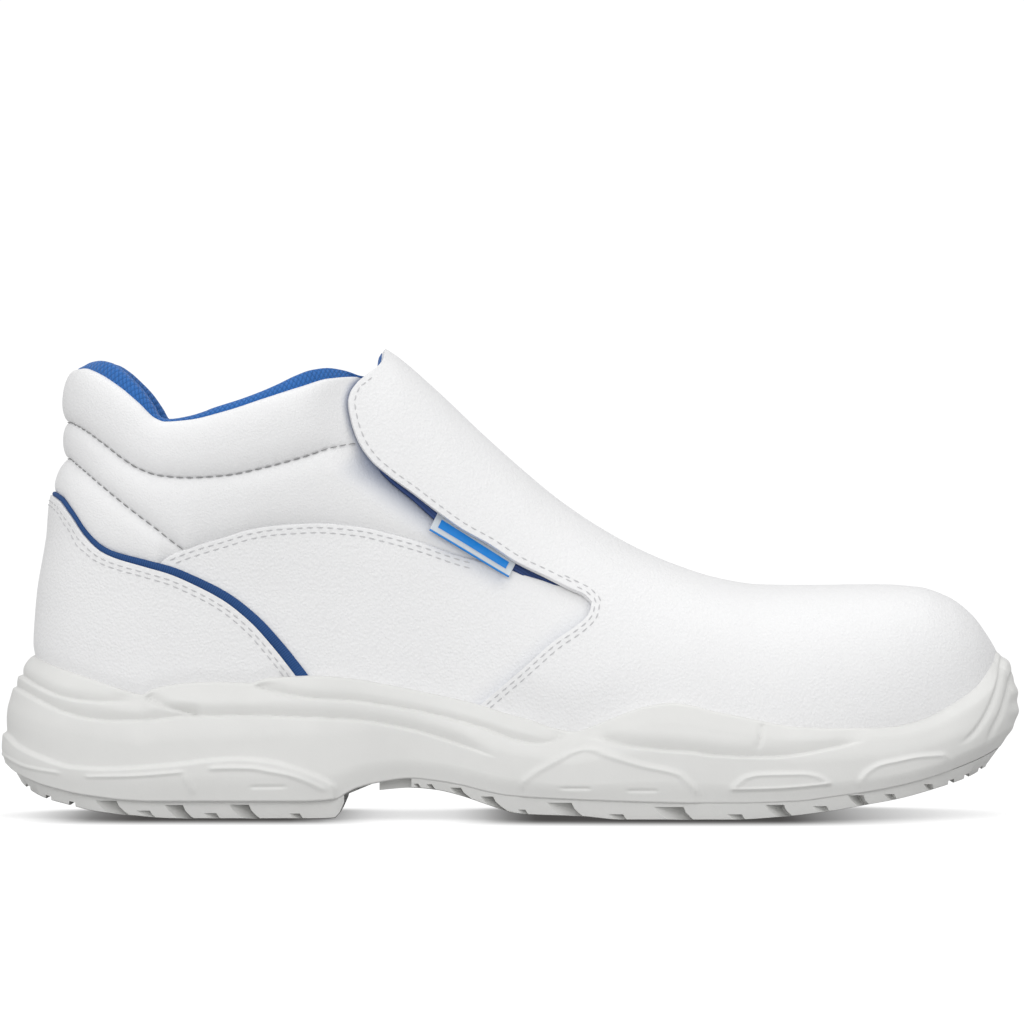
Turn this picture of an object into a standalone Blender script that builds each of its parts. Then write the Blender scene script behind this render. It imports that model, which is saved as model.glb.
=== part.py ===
"""Slip-on safety boot for the right foot, built over one last.

Lengths are in millimetres until a mesh is made. x runs from the back of the heel to the toe,
y to the inner side of the foot and z up from the floor. The shape of the upper is one function,
last_point, and every other piece is cut or offset from it.
"""

import math
from collections import namedtuple

import bmesh
import bpy
import numpy as np

MM = 0.001

# Driving dimensions of the last
LAST_TIP = 299.0
HEEL_CENTRE = 48.0
WAIST = 112.0
BALL = 212.0
HEEL_HALF = 34.0
BALL_HALF = 49.5
WAIST_HALF_OUTER = 34.5
WAIST_HALF_INNER = 32.5
TOE_SWING = 7.0
SWING_START = 100.0
HEEL_ROUND = 2.15
TOE_ROUND = 2.5
OPENING_POWER = 1.2
TUCK_DEPTH = 0.09
TUCK_HEIGHT = 16.0
FLARE_FULL = 80.0
FLARE_END = 170.0
LEAN_END = 118.0
GIRTH_LEVEL = 50.0

# Driving dimensions of the pieces
GAP = 0.3
WALL = 2.2
INSOLE_THICKNESS = 4.0
INSOLE_CLEARANCE = 0.7
COUNTER_THICKNESS = 1.5
COUNTER_FRONT = 86.0
FLAP_THICKNESS = 2.0
FLAP_LIFT_ROOT = 0.35
FLAP_LIFT_TOP = 1.0
GUSSET_THICKNESS = 1.2
GUSSET_DEPTH = 2.8
COLLAR_DEPTH = 7.0
COLLAR_DEPTH_FRONT = 1.9
COLLAR_CROWN = 2.8
COLLAR_BULGE = 2.6
COLLAR_BULGE_FRONT = 0.6
COLLAR_THIN_START = 86.0
COLLAR_THIN_END = 106.0
COLLAR_FRONT = 143.0
THROAT = 176.0
BREAST_BACK = 101.0
BREAST_FRONT = 104.0
GROOVE_DEPTH = 3.4
GROOVE_ROOF = 1.3
GROOVE_SWEEP = 14.0
GROOVE_REACH = 75.0

OUTER = -1
INNER = 1

# Sections of the sole: heights of the tread, the parting line, the cup floor and the cup edge
Section = namedtuple("Section", "x tread parting floor edge")
SECTIONS = (
    Section(0.0, 19.0, 16.8, 27.6, 49.4),
    Section(6.0, 10.8, 13.4, 27.4, 49.2),
    Section(14.0, 6.0, 10.6, 27.2, 46.8),
    Section(30.0, 2.4, 6.9, 26.8, 41.3),
    Section(45.0, 0.7, 5.5, 26.2, 37.6),
    Section(54.0, 0.0, 5.3, 25.8, 40.1),
    Section(76.0, 0.0, 5.3, 24.6, 40.7),
    Section(95.0, 0.0, 5.6, 23.0, 42.6),
    Section(101.0, 0.6, 6.2, 22.4, 42.2),
    Section(104.0, 6.2, 7.8, 22.1, 41.9),
    Section(110.0, 8.2, 10.2, 21.5, 41.0),
    Section(124.0, 9.3, 12.1, 19.8, 38.5),
    Section(138.0, 6.9, 10.2, 17.8, 35.3),
    Section(150.0, 3.0, 7.4, 16.2, 32.2),
    Section(160.0, 1.4, 6.6, 15.2, 29.4),
    Section(171.0, 0.8, 6.2, 14.4, 26.5),
    Section(185.0, 0.0, 5.7, 13.8, 31.2),
    Section(200.0, 0.0, 5.2, 13.5, 34.7),
    Section(218.0, 0.0, 5.2, 13.6, 31.2),
    Section(235.0, 1.1, 5.6, 14.2, 28.0),
    Section(255.0, 3.8, 7.9, 15.5, 27.3),
    Section(270.0, 6.4, 10.6, 17.6, 28.4),
    Section(283.0, 10.2, 14.1, 20.4, 33.8),
    Section(292.0, 13.6, 17.2, 23.5, 40.5),
    Section(299.0, 18.6, 20.0, 26.5, 49.6),
)

# Arches of the closed forefoot: height of the ridge and how square the crown and the sides are
Arch = namedtuple("Arch", "x ridge crown side")
ARCHES = (
    Arch(110.0, 139.2, 3.0, 2.4),
    Arch(119.4, 133.0, 3.0, 2.4),
    Arch(131.4, 122.6, 2.9, 2.3),
    Arch(149.4, 106.0, 2.6, 2.2),
    Arch(167.4, 91.4, 2.5, 2.1),
    Arch(177.0, 85.2, 2.5, 2.1),
    Arch(185.4, 82.6, 2.5, 2.1),
    Arch(203.4, 74.7, 2.6, 2.1),
    Arch(221.4, 69.9, 2.8, 2.2),
    Arch(239.4, 69.0, 2.9, 2.2),
    Arch(263.4, 69.2, 3.0, 2.3),
    Arch(275.4, 68.4, 3.0, 2.3),
    Arch(284.4, 65.3, 3.0, 2.3),
    Arch(291.0, 60.3, 3.0, 2.3),
    Arch(296.4, 53.1, 3.0, 2.3),
    Arch(299.0, 48.6, 3.0, 2.3),
)

# Levels of the heel and leg: place of the back, where its round ends, and width against the heel's
Level = namedtuple("Level", "z back centre flare")
LEVELS = (
    Level(20.0, 11.6, 48.0, 1.0),
    Level(50.0, 11.1, 48.0, 1.0),
    Level(65.0, 12.0, 50.0, 1.0),
    Level(80.0, 14.4, 53.0, 1.015),
    Level(95.0, 17.0, 56.5, 1.03),
    Level(107.0, 19.8, 59.5, 1.045),
    Level(118.0, 19.8, 61.5, 1.06),
    Level(140.0, 21.2, 64.0, 1.09),
)

# Folds of the collar seen from the side: top edge, the two sewn folds and the foot
Fold = namedtuple("Fold", "x top upper lower foot")
FOLDS = (
    Fold(17.0, 134.0, 118.0, 108.5, 96.4),
    Fold(20.0, 136.0, 117.7, 107.0, 94.6),
    Fold(24.0, 137.4, 116.4, 104.5, 89.6),
    Fold(30.0, 137.6, 112.3, 99.6, 81.4),
    Fold(36.0, 133.8, 108.0, 95.0, 77.8),
    Fold(42.0, 128.0, 104.0, 90.2, 75.9),
    Fold(48.0, 120.6, 101.9, 86.0, 76.3),
    Fold(54.0, 119.2, 101.1, 81.5, 79.0),
    Fold(66.0, 122.2, 101.5, 72.0, 82.8),
    Fold(80.0, 128.2, 104.1, 70.0, 86.2),
    Fold(92.0, 133.0, 107.4, 70.0, 87.3),
    Fold(104.0, 134.6, 110.8, 70.0, 86.5),
    Fold(110.0, 130.0, 110.0, 70.0, 85.2),
    Fold(114.0, 112.0, 104.0, 70.0, 84.2),
    Fold(118.0, 99.2, 99.0, 70.0, 83.0),
    Fold(129.0, 90.0, 90.0, 70.0, 81.2),
    Fold(138.0, 83.6, 83.0, 70.0, 78.2),
    Fold(144.0, 79.8, 79.0, 70.0, 76.6),
)

# Upper edge of the quarters, and in front of the throat the level where the vamp's crown begins
Edge = namedtuple("Edge", "x z")
VAMP_EDGE = (
    Edge(143.0, 76.7),
    Edge(150.0, 76.0),
    Edge(157.0, 73.4),
    Edge(166.0, 68.8),
    Edge(173.0, 66.2),
    Edge(190.0, 62.0),
    Edge(212.0, 57.0),
    Edge(255.0, 53.0),
    Edge(285.0, 49.0),
    Edge(299.0, 44.0),
)
COUNTER_EDGE = (
    Edge(17.0, 95.4),
    Edge(20.0, 93.6),
    Edge(24.0, 88.2),
    Edge(30.0, 80.2),
    Edge(36.0, 77.0),
    Edge(44.4, 74.4),
    Edge(51.6, 72.3),
    Edge(58.8, 69.3),
    Edge(67.7, 64.4),
    Edge(75.8, 58.0),
    Edge(83.0, 50.0),
    Edge(88.6, 42.0),
)

# Bands of the flap and the gusset: lower end of the band at the side and its place on the ridge
Band = namedtuple("Band", "x z ridge")
FLAP_BANDS = (
    Band(104.4, 122.5, 112.4),
    Band(104.8, 117.0, 116.0),
    Band(107.8, 110.6, 121.5),
    Band(115.0, 103.0, 130.0),
    Band(129.2, 92.5, 142.0),
    Band(147.6, 80.3, 157.0),
    Band(165.9, 70.5, 172.0),
    Band(177.0, 65.0, 182.0),
)
GUSSET_BANDS = (
    Band(112.0, 106.0, 117.0),
    Band(118.0, 92.5, 124.0),
    Band(129.0, 83.5, 136.0),
    Band(141.0, 72.0, 148.0),
    Band(156.0, 66.0, 161.0),
    Band(181.0, 59.0, 184.0),
)

# Rings of the cup's side wall: share of the height and distance out from the last
Ring = namedtuple("Ring", "share heel flank toe")
WALL_RINGS = (
    Ring(0.985, 2.6, 1.9, 1.8),
    Ring(0.80, 6.4, 4.5, 4.2),
    Ring(0.50, 9.2, 6.2, 6.0),
    Ring(0.22, 11.1, 6.4, 5.8),
    Ring(0.0, 9.0, 5.2, 1.6),
)
TREAD_TOP = Ring(0.0, 8.4, 4.7, 0.2)
TREAD_FOOT = Ring(0.0, 5.2, 3.9, -4.0)

# Grooves between the lugs: place on the middle line and width
Groove = namedtuple("Groove", "x width")
GROOVES = (
    Groove(28.0, 5.5),
    Groove(49.0, 5.0),
    Groove(69.0, 6.0),
    Groove(142.0, 4.0),
    Groove(164.0, 6.5),
    Groove(196.0, 7.5),
    Groove(226.0, 5.5),
    Groove(250.0, 4.5),
    Groove(270.0, 3.5),
)

# Steps of the meshes
HEEL_STEPS = 10
TOE_STEPS = 11
CUP_STEPS = 3
WALL_STEPS = 5
CROWN_STEPS = 6
COLLAR_STEPS = 14
COLLAR_INNER_STEPS = 5
CROWN_ROUND_STEPS = 4
COUNTER_STEPS = 6
BAND_STEPS = 12
ACROSS_STEPS = 7

# Colours of the pieces
WHITE_LEATHER = (0.86, 0.87, 0.88, 1.0)
WHITE_SOLE = (0.82, 0.83, 0.84, 1.0)
WHITE_SOFT = (0.88, 0.88, 0.89, 1.0)
NAVY = (0.02, 0.04, 0.12, 1.0)
BLUE_FOAM = (0.10, 0.22, 0.50, 1.0)


def curve(rows, column, key="x"):
    """Return a smooth function through one column of a table that stays between its rows."""
    places = np.array([getattr(row, key) for row in rows], float)
    values = np.array([getattr(row, column) for row in rows], float)
    rise = np.diff(values) / np.diff(places)
    same_way = rise[1:] * rise[:-1] > 0
    total = np.where(same_way, rise[1:] + rise[:-1], 1.0)
    inner = np.where(same_way, 2 * rise[1:] * rise[:-1] / total, 0.0)
    slope = np.concatenate(([rise[0]], inner, [rise[-1]]))

    def at(place):
        place = min(max(place, places[0]), places[-1])
        i = min(int(np.searchsorted(places, place, "right")) - 1, len(places) - 2)
        step = places[i + 1] - places[i]
        t = (place - places[i]) / step
        start = (1 + 2 * t) * (1 - t) ** 2 * values[i] + t * (1 - t) ** 2 * step * slope[i]
        end = t * t * (3 - 2 * t) * values[i + 1] + t * t * (t - 1) * step * slope[i + 1]
        return start + end

    return at


tread_line = curve(SECTIONS, "tread")
parting_line = curve(SECTIONS, "parting")
floor_line = curve(SECTIONS, "floor")
cup_edge = curve(SECTIONS, "edge")
ridge_line = curve(ARCHES, "ridge")
crown_power = curve(ARCHES, "crown")
side_power = curve(ARCHES, "side")
back_line = curve(LEVELS, "back", "z")
centre_line = curve(LEVELS, "centre", "z")
flare_line = curve(LEVELS, "flare", "z")
collar_top = curve(FOLDS, "top")
fold_upper = curve(FOLDS, "upper")
fold_lower = curve(FOLDS, "lower")
collar_foot = curve(FOLDS, "foot")
vamp_edge = curve(VAMP_EDGE, "z")
counter_edge = curve(COUNTER_EDGE, "z")


def mix(a, b, share):
    """Return the value that lies the given share of the way from a to b."""
    return a + (b - a) * share


def ease(share):
    """Return a share from 0 to 1 that starts and stops gently."""
    share = min(max(share, 0.0), 1.0)
    return share * share * (3 - 2 * share)


# The last
def middle(x):
    """Return the middle line of the foot, which swings to the inner side at the toe."""
    return TOE_SWING * ease((x - SWING_START) / (LAST_TIP - SWING_START))


def half_width(x, side):
    """Return the last's half width at its widest level."""
    waist = WAIST_HALF_OUTER if side == OUTER else WAIST_HALF_INNER
    if x < WAIST:
        return mix(HEEL_HALF, waist, ease((x - HEEL_CENTRE) / (WAIST - HEEL_CENTRE)))
    if x < BALL:
        return mix(waist, BALL_HALF, ease((x - WAIST) / (BALL - WAIST)))
    reach = min((x - BALL) / (LAST_TIP - BALL), 1.0)
    return BALL_HALF * max(1 - reach ** TOE_ROUND, 0.0) ** (1 / TOE_ROUND)


def tuck(x, z):
    """Return how far the last is drawn in under its lower edge."""
    low = 1 - min(max((z - floor_line(x)) / TUCK_HEIGHT, 0.0), 1.0)
    return 1 - TUCK_DEPTH * low * low


def closing(x, z):
    """Return how far the leg has closed over the foot: none at the round of the heel, all at the throat."""
    front = ARCHES[0].x
    return 1 - (max(front - x, 0.0) / (front - centre_line(z))) ** OPENING_POWER


def arch_share(x, z):
    """Return the share of the arch's height that z reaches; behind the throat the leg opens up."""
    height = ridge_line(x) - floor_line(max(x, ARCHES[0].x))
    return min(max((z - floor_line(x)) * max(closing(x, z), 0.0) / height, 0.0), 1.0)


def arch_height(x, share):
    """Return the height z where the arch's share is reached."""
    height = ridge_line(x) - floor_line(max(x, ARCHES[0].x))
    z = floor_line(x) + share * height
    for _ in range(8):
        z = floor_line(x) + share * height / closing(x, z)
    return z


def side_point(x, z, side):
    """Return the point of the last's surface in front of the round of the heel."""
    share = arch_share(x, z)
    fade = 1 - ease((x - FLARE_FULL) / (FLARE_END - FLARE_FULL))
    flare = 1 + (flare_line(z) - 1) * fade
    arch = max(1 - share ** crown_power(x), 0.0) ** (1 / side_power(x))
    half = half_width(x, side) * tuck(x, z) * flare * arch
    return np.array([x, middle(x) + side * half, z])


def heel_point(angle, z, side):
    """Return the point of the last's surface on the round of the heel."""
    drawn = tuck(HEEL_CENTRE, z)
    reach = (centre_line(z) - back_line(z)) * drawn * math.cos(angle) ** (2 / HEEL_ROUND)
    half = HEEL_HALF * drawn * flare_line(z) * math.sin(angle) ** (2 / HEEL_ROUND)
    return np.array([centre_line(z) - reach, side * half, z])


Station = namedtuple("Station", "angle x")


def last_point(station, z, side):
    """Return the point of the last's surface at a station and a height."""
    if station.angle is not None:
        return heel_point(station.angle, z, side)
    behind = max(LEAN_END - station.x, 0.0) / (LEAN_END - HEEL_CENTRE)
    return side_point(station.x + behind * (centre_line(z) - HEEL_CENTRE), z, side)


def stations_of_the_foot():
    """Return the stations of one side, from the back of the heel to the tip of the toe."""
    quarter = math.pi / 2
    found = [Station(quarter * i / HEEL_STEPS, HEEL_CENTRE) for i in range(HEEL_STEPS)]
    stops = ((HEEL_CENTRE, BREAST_BACK, 8), (BREAST_BACK, BREAST_FRONT, 1), (BREAST_FRONT, LEAN_END, 4),
             (LEAN_END, COLLAR_FRONT, 4), (COLLAR_FRONT, THROAT, 4), (THROAT, BALL, 5))
    for start, end, steps in stops:
        found += [Station(None, mix(start, end, i / steps)) for i in range(steps)]
    for i in range(TOE_STEPS + 1):
        reach = math.sin(quarter * i / TOE_STEPS) ** (2 / TOE_ROUND)
        found.append(Station(None, mix(BALL, LAST_TIP, reach)))
    return found


STATIONS = stations_of_the_foot()
COUNT = len(STATIONS)


def height_on(station, line, side):
    """Return the height where a station of the last meets a line drawn in the side view."""
    z = line(station.x)
    for _ in range(8):
        z = line(last_point(station, z, side)[0])
    return z


def wall_top(station, side):
    """Return the upper edge of the upper's wall, or where the closed crown begins."""
    if station.angle is None and station.x > COLLAR_FRONT:
        return vamp_edge(station.x)
    return height_on(station, collar_foot, side) - GAP


# Rings around the foot
def around(height):
    """Return a closed ring of the last, with the height given by a function of station and side."""
    outer = [last_point(s, height(s, OUTER), OUTER) for s in STATIONS]
    inner = [last_point(s, height(s, INNER), INNER) for s in STATIONS[-2:0:-1]]
    return np.array(outer + inner)


def outward(ring):
    """Return the level directions that point away from a ring."""
    along = np.roll(ring, -1, axis=0) - np.roll(ring, 1, axis=0)
    out = np.stack([along[:, 1], -along[:, 0], np.zeros(len(ring))], axis=1)
    return out / np.linalg.norm(out, axis=1, keepdims=True)


def moved_out(ring, distance):
    """Return a ring moved out by a distance, or by a Ring's distances at heel, flank and toe."""
    out = outward(ring)
    if isinstance(distance, Ring):
        heel = np.clip(-out[:, 0], 0.0, 1.0) ** 2
        toe = np.clip(out[:, 0], 0.0, 1.0) ** 2
        flank = 1 - heel - toe
        distance = (distance.heel * heel + distance.flank * flank + distance.toe * toe)[:, None]
    return ring + out * distance


def on_line(ring, line, lift=0.0):
    """Return a ring with its heights taken from a line of the side view."""
    placed = ring.copy()
    placed[:, 2] = [line(x) + lift for x in ring[:, 0]]
    return placed


# Meshes
def new_object(name, points, faces, colour, roughness):
    """Add an object with its own material from points in millimetres and return it."""
    shape = bmesh.new()
    corners = [shape.verts.new(point * MM) for point in points]
    for face in faces:
        shape.faces.new([corners[i] for i in face])
    bmesh.ops.remove_doubles(shape, verts=shape.verts, dist=0.01 * MM)
    bmesh.ops.dissolve_degenerate(shape, edges=shape.edges, dist=0.005 * MM)
    mesh = bpy.data.meshes.new(name)
    shape.to_mesh(mesh)
    shape.free()
    made = bpy.data.objects.new(name, mesh)
    bpy.context.scene.collection.objects.link(made)
    material = bpy.data.materials.new(name)
    material.use_nodes = True
    shader = material.node_tree.nodes["Principled BSDF"]
    shader.inputs["Base Color"].default_value = colour
    shader.inputs["Roughness"].default_value = roughness
    mesh.materials.append(material)
    return made


def close_outward(made):
    """Turn the faces of a closed body outward."""
    shape = bmesh.new()
    shape.from_mesh(made.data)
    bmesh.ops.recalc_face_normals(shape, faces=shape.faces)
    shape.to_mesh(made.data)
    shape.free()


def apply_modifiers(made):
    """Apply the object's modifiers in order."""
    bpy.ops.object.select_all(action="DESELECT")
    made.select_set(True)
    bpy.context.view_layer.objects.active = made
    for modifier in list(made.modifiers):
        bpy.ops.object.modifier_apply(modifier=modifier.name)


def thicken(made, thickness, side):
    """Give a sheet its wall, outward with side 1 and inward with side -1."""
    wall = made.modifiers.new("wall", "SOLIDIFY")
    wall.thickness = thickness * MM
    wall.offset = side
    wall.use_even_offset = True
    wall.use_quality_normals = True
    apply_modifiers(made)


def ladder(first):
    """Return the faces that fill a ring from its outer to its inner side."""
    ring = 2 * (COUNT - 1)
    rungs = [(i, i + 1, ring - i - 1, ring - i) for i in range(1, COUNT - 2)]
    rungs += [(0, 1, ring - 1), (COUNT - 2, COUNT - 1, COUNT)]
    return [tuple(first + i for i in rung) for rung in rungs]


def lofted(name, rings, colour, roughness):
    """Add a closed body through rings around the foot, filled at both ends."""
    size = len(rings[0])
    faces = ladder(0) + ladder(size * (len(rings) - 1))
    for level in range(len(rings) - 1):
        for i in range(size):
            j = (i + 1) % size
            low, high = level * size, (level + 1) * size
            faces.append((low + i, low + j, high + j, high + i))
    made = new_object(name, np.concatenate(rings), faces, colour, roughness)
    close_outward(made)
    return made


def grid_faces(rows, columns, first=0):
    """Return the faces of a grid of points, row after row."""
    return [(first + i * columns + j, first + (i + 1) * columns + j,
             first + (i + 1) * columns + j + 1, first + i * columns + j + 1)
            for i in range(rows - 1) for j in range(columns - 1)]


def normals(grid):
    """Return the directions square to a grid of points."""
    out = np.cross(np.gradient(grid, axis=0), np.gradient(grid, axis=1))
    return out / np.linalg.norm(out, axis=2, keepdims=True)


# The pieces
def make_upper():
    """Add the hollow wall of vamp and quarters, open below, at the collar and at the throat."""
    points, faces = [], []
    for side in (OUTER, INNER):
        columns = []
        for station in STATIONS:
            x = last_point(station, GIRTH_LEVEL, side)[0]
            low, edge, top = floor_line(x) + GAP, cup_edge(x), wall_top(station, side)
            heights = [mix(low, edge, i / CUP_STEPS) for i in range(CUP_STEPS)]
            heights += [mix(edge, max(top, edge + 0.5), i / WALL_STEPS) for i in range(WALL_STEPS + 1)]
            columns.append([last_point(station, z, side) for z in heights])
        grid = np.array(columns)
        found = grid_faces(*grid.shape[:2], len(points))
        points += list(grid.reshape(-1, 3))
        faces += found if side == OUTER else [face[::-1] for face in found]
        crown = []
        for station in [s for s in STATIONS if s.angle is None and s.x >= THROAT]:
            start = arch_share(station.x, max(wall_top(station, side), cup_edge(station.x) + 0.5))
            lift = math.asin(min(start, 1.0))
            bends = [mix(lift, math.pi / 2, i / CROWN_STEPS) for i in range(CROWN_STEPS + 1)]
            shares = [start] + [math.sin(bend) for bend in bends[1:-1]] + [1.0]
            crown.append([side_point(station.x, arch_height(station.x, s), side) for s in shares])
        grid = np.array(crown)
        found = grid_faces(*grid.shape[:2], len(points))
        points += list(grid.reshape(-1, 3))
        faces += found if side == OUTER else [face[::-1] for face in found]
    made = new_object("upper", points, faces, WHITE_LEATHER, 0.5)
    thicken(made, WALL, -1)
    close_outward(made)
    return made


def make_midsole():
    """Add the cup that holds the upper, with its bulged side wall and its sole plate."""
    def level(share):
        def height(station, side):
            x = last_point(station, GIRTH_LEVEL, side)[0]
            return mix(floor_line(x), cup_edge(x), share)
        return height

    rings = [moved_out(around(level(i / CUP_STEPS)), GAP) for i in range(CUP_STEPS + 1)]
    girth = around(level(1.0))
    for row in WALL_RINGS:
        ring = moved_out(girth, row)
        for i, x in enumerate(girth[:, 0]):
            ring[i, 2] = mix(parting_line(ring[i, 0]), cup_edge(x), row.share)
        rings.append(ring)
    return lofted("midsole", rings, WHITE_SOLE, 0.45)


def make_outsole():
    """Add the tread with its heel block, arch web and lugs."""
    girth = around(lambda station, side: cup_edge(last_point(station, GIRTH_LEVEL, side)[0]))
    top = on_line(moved_out(girth, TREAD_TOP), parting_line, -GAP)
    foot = on_line(moved_out(girth, TREAD_FOOT), tread_line)
    made = lofted("outsole", [top, foot], WHITE_SOLE, 0.5)
    cutter = make_groove_cutter()
    cut = made.modifiers.new("grooves", "BOOLEAN")
    cut.operation = "DIFFERENCE"
    cut.solver = "EXACT"
    cut.object = cutter
    apply_modifiers(made)
    bpy.data.objects.remove(cutter)
    return made


def make_groove_cutter():
    """Add the swept bars that cut the grooves, one for each groove."""
    points, faces = [], []
    sweep = math.tan(math.radians(GROOVE_SWEEP))
    for groove in GROOVES:
        first = len(points)
        for reach in (-GROOVE_REACH, 0.0, GROOVE_REACH):
            for end in (-0.5, 0.5):
                x = groove.x + abs(reach) * sweep + end * groove.width
                deep = min(tread_line(x) + GROOVE_DEPTH, parting_line(x) - GAP - GROOVE_ROOF)
                for z in (-GROOVE_DEPTH, deep):
                    points.append(np.array([x, middle(groove.x) + reach, z]))
        box = [(0, 2, 3, 1), (8, 9, 11, 10)]
        for start in (0, 4):
            box += [tuple(start + i for i in face)
                    for face in ((0, 1, 5, 4), (2, 6, 7, 3), (0, 4, 6, 2), (1, 3, 7, 5))]
        faces += [tuple(first + i for i in face) for face in box]
    made = new_object("groove_cutter", points, faces, WHITE_SOLE, 0.5)
    close_outward(made)
    return made


def make_insole():
    """Add the footbed that lies on the cup floor inside the wall."""
    girth = around(lambda station, side: floor_line(last_point(station, GIRTH_LEVEL, side)[0]) + GAP)
    inside = moved_out(girth, -(WALL + INSOLE_CLEARANCE))
    top = inside.copy()
    top[:, 2] += INSOLE_THICKNESS
    return lofted("insole", [inside, top], BLUE_FOAM, 0.9)


def make_counter():
    """Add the overlay around the heel, from the cup's edge up to its own curved edge."""
    back = [s for s in STATIONS if s.angle is not None or s.x <= COUNTER_FRONT]
    columns = []
    for station, side in [(s, INNER) for s in back[:0:-1]] + [(s, OUTER) for s in back]:
        x = last_point(station, GIRTH_LEVEL, side)[0]
        low, high = cup_edge(x) + GAP, height_on(station, counter_edge, side)
        columns.append([last_point(station, mix(low, high, i / COUNTER_STEPS), side)
                        for i in range(COUNTER_STEPS + 1)])
    grid = np.array(columns)
    grid = grid + normals(grid) * GAP
    made = new_object("heel_counter", grid.reshape(-1, 3), grid_faces(*grid.shape[:2]), WHITE_LEATHER, 0.5)
    thicken(made, COUNTER_THICKNESS, 1)
    close_outward(made)
    return made


def roll(z, folds):
    """Return how full a padded roll is at a height between its folds."""
    for low, high in zip(folds, folds[1:]):
        if low <= z <= high and high - low > 0.1:
            return max(math.sin(math.pi * (z - low) / (high - low)), 0.0) ** 0.7
    return 0.0


def make_collar():
    """Add the padded collar: rolls outside, a rounded crown and a plain inner face."""
    back = [s for s in STATIONS if s.angle is not None or s.x <= COLLAR_FRONT]
    order = [(s, INNER) for s in back[:0:-1]] + [(s, OUTER) for s in back]
    columns = []
    for station, side in order:
        foot, top = height_on(station, collar_foot, side), height_on(station, collar_top, side)
        top = max(top - COLLAR_CROWN, foot + COLLAR_CROWN)
        columns.append([last_point(station, mix(foot, top, i / COLLAR_STEPS), side)
                        for i in range(COLLAR_STEPS + 1)])
    grid = np.array(columns)
    out = normals(grid)
    loops = []
    for (station, side), column, away in zip(order, grid, out):
        x = column[-1][0]
        thin = ease((x - COLLAR_THIN_START) / (COLLAR_THIN_END - COLLAR_THIN_START))
        depth = mix(COLLAR_DEPTH, COLLAR_DEPTH_FRONT, thin)
        bulge = mix(COLLAR_BULGE, COLLAR_BULGE_FRONT, thin)
        foot, top = column[0][2], column[-1][2]
        folds = [foot]
        folds += [z for z in (fold_lower(x), fold_upper(x)) if foot + 1 < z < top - 1]
        folds.append(top + 2 * COLLAR_CROWN)
        outside = [p + n * bulge * roll(p[2], folds) for p, n in zip(column, away)]
        inside = [p - n * depth for p, n in zip(column, away)]
        crown = outside[-1], inside[-1]
        rounding = []
        for i in range(1, CROWN_ROUND_STEPS):
            turn = math.pi * i / CROWN_ROUND_STEPS
            place = mix(crown[0], crown[1], (1 - math.cos(turn)) / 2)
            rounding.append(place + np.array([0, 0, math.sin(turn) * COLLAR_CROWN * depth / COLLAR_DEPTH]))
        picks = [round(i * COLLAR_STEPS / COLLAR_INNER_STEPS) for i in range(COLLAR_INNER_STEPS + 1)]
        loops.append(outside + rounding + [inside[i] for i in picks[::-1]])
    size = len(loops[0])
    faces = [tuple(range(size)), tuple(range(size * (len(loops) - 1), size * len(loops)))]
    for i in range(len(loops) - 1):
        for j in range(size):
            k = (j + 1) % size
            faces.append((i * size + j, (i + 1) * size + j, (i + 1) * size + k, i * size + k))
    made = new_object("padded_collar", np.concatenate(loops), faces, WHITE_SOFT, 0.55)
    close_outward(made)
    return made


def saddle(bands):
    """Return a grid that runs over the instep from the outer to the inner lower edge of the bands."""
    places = [Edge(i, i) for i in range(len(bands))]
    along = [curve([namedtuple("Row", "x z")(p.x, getattr(b, name)) for p, b in zip(places, bands)], "z")
             for name in ("x", "z", "ridge")]
    rows = []
    for i in range(BAND_STEPS + 1):
        place = (len(bands) - 1) * i / BAND_STEPS
        x_low, z_low, x_ridge = [part(place) for part in along]
        start = math.asin(arch_share(x_low, z_low))
        half = {}
        for side in (OUTER, INNER):
            half[side] = []
            for j in range(ACROSS_STEPS + 1):
                share = j / ACROSS_STEPS
                x = mix(x_low, x_ridge, ease(share) if x_low < ARCHES[0].x else share)
                part = 1.0 if j == ACROSS_STEPS else math.sin(mix(start, math.pi / 2, share))
                half[side].append(side_point(x, arch_height(x, part), side))
        rows.append(half[OUTER] + half[INNER][-2::-1])
    return np.array(rows)


def make_flap():
    """Add the instep flap, which lies over the throat and lifts a little towards its top."""
    grid = saddle(FLAP_BANDS)
    lift = np.linspace(FLAP_LIFT_TOP, FLAP_LIFT_ROOT, len(grid))[:, None, None]
    grid = grid + normals(grid) * lift
    made = new_object("instep_flap", grid.reshape(-1, 3), grid_faces(*grid.shape[:2]), WHITE_LEATHER, 0.5)
    thicken(made, FLAP_THICKNESS, 1)
    close_outward(made)
    return made


def make_gusset():
    """Add the elastic saddle that closes the throat from inside."""
    grid = saddle(GUSSET_BANDS)
    grid = grid - normals(grid) * GUSSET_DEPTH
    made = new_object("elastic_gusset", grid.reshape(-1, 3), grid_faces(*grid.shape[:2]), NAVY, 0.9)
    thicken(made, GUSSET_THICKNESS, -1)
    close_outward(made)
    return made


def place_on_origin(pieces):
    """Move all pieces together so that the middle of the boot's box stands on the origin."""
    corners = np.array([corner.co for piece in pieces for corner in piece.data.vertices])
    low, high = corners.min(axis=0), corners.max(axis=0)
    shift = ((low[0] + high[0]) / 2, (low[1] + high[1]) / 2, low[2])
    for piece in pieces:
        for corner in piece.data.vertices:
            corner.co = [a - b for a, b in zip(corner.co, shift)]


def main():
    for made in list(bpy.data.objects):
        bpy.data.objects.remove(made)
    pieces = [make_outsole(), make_midsole(), make_insole(), make_upper(), make_collar(),
              make_counter(), make_flap(), make_gusset()]
    place_on_origin(pieces)


main()
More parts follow.
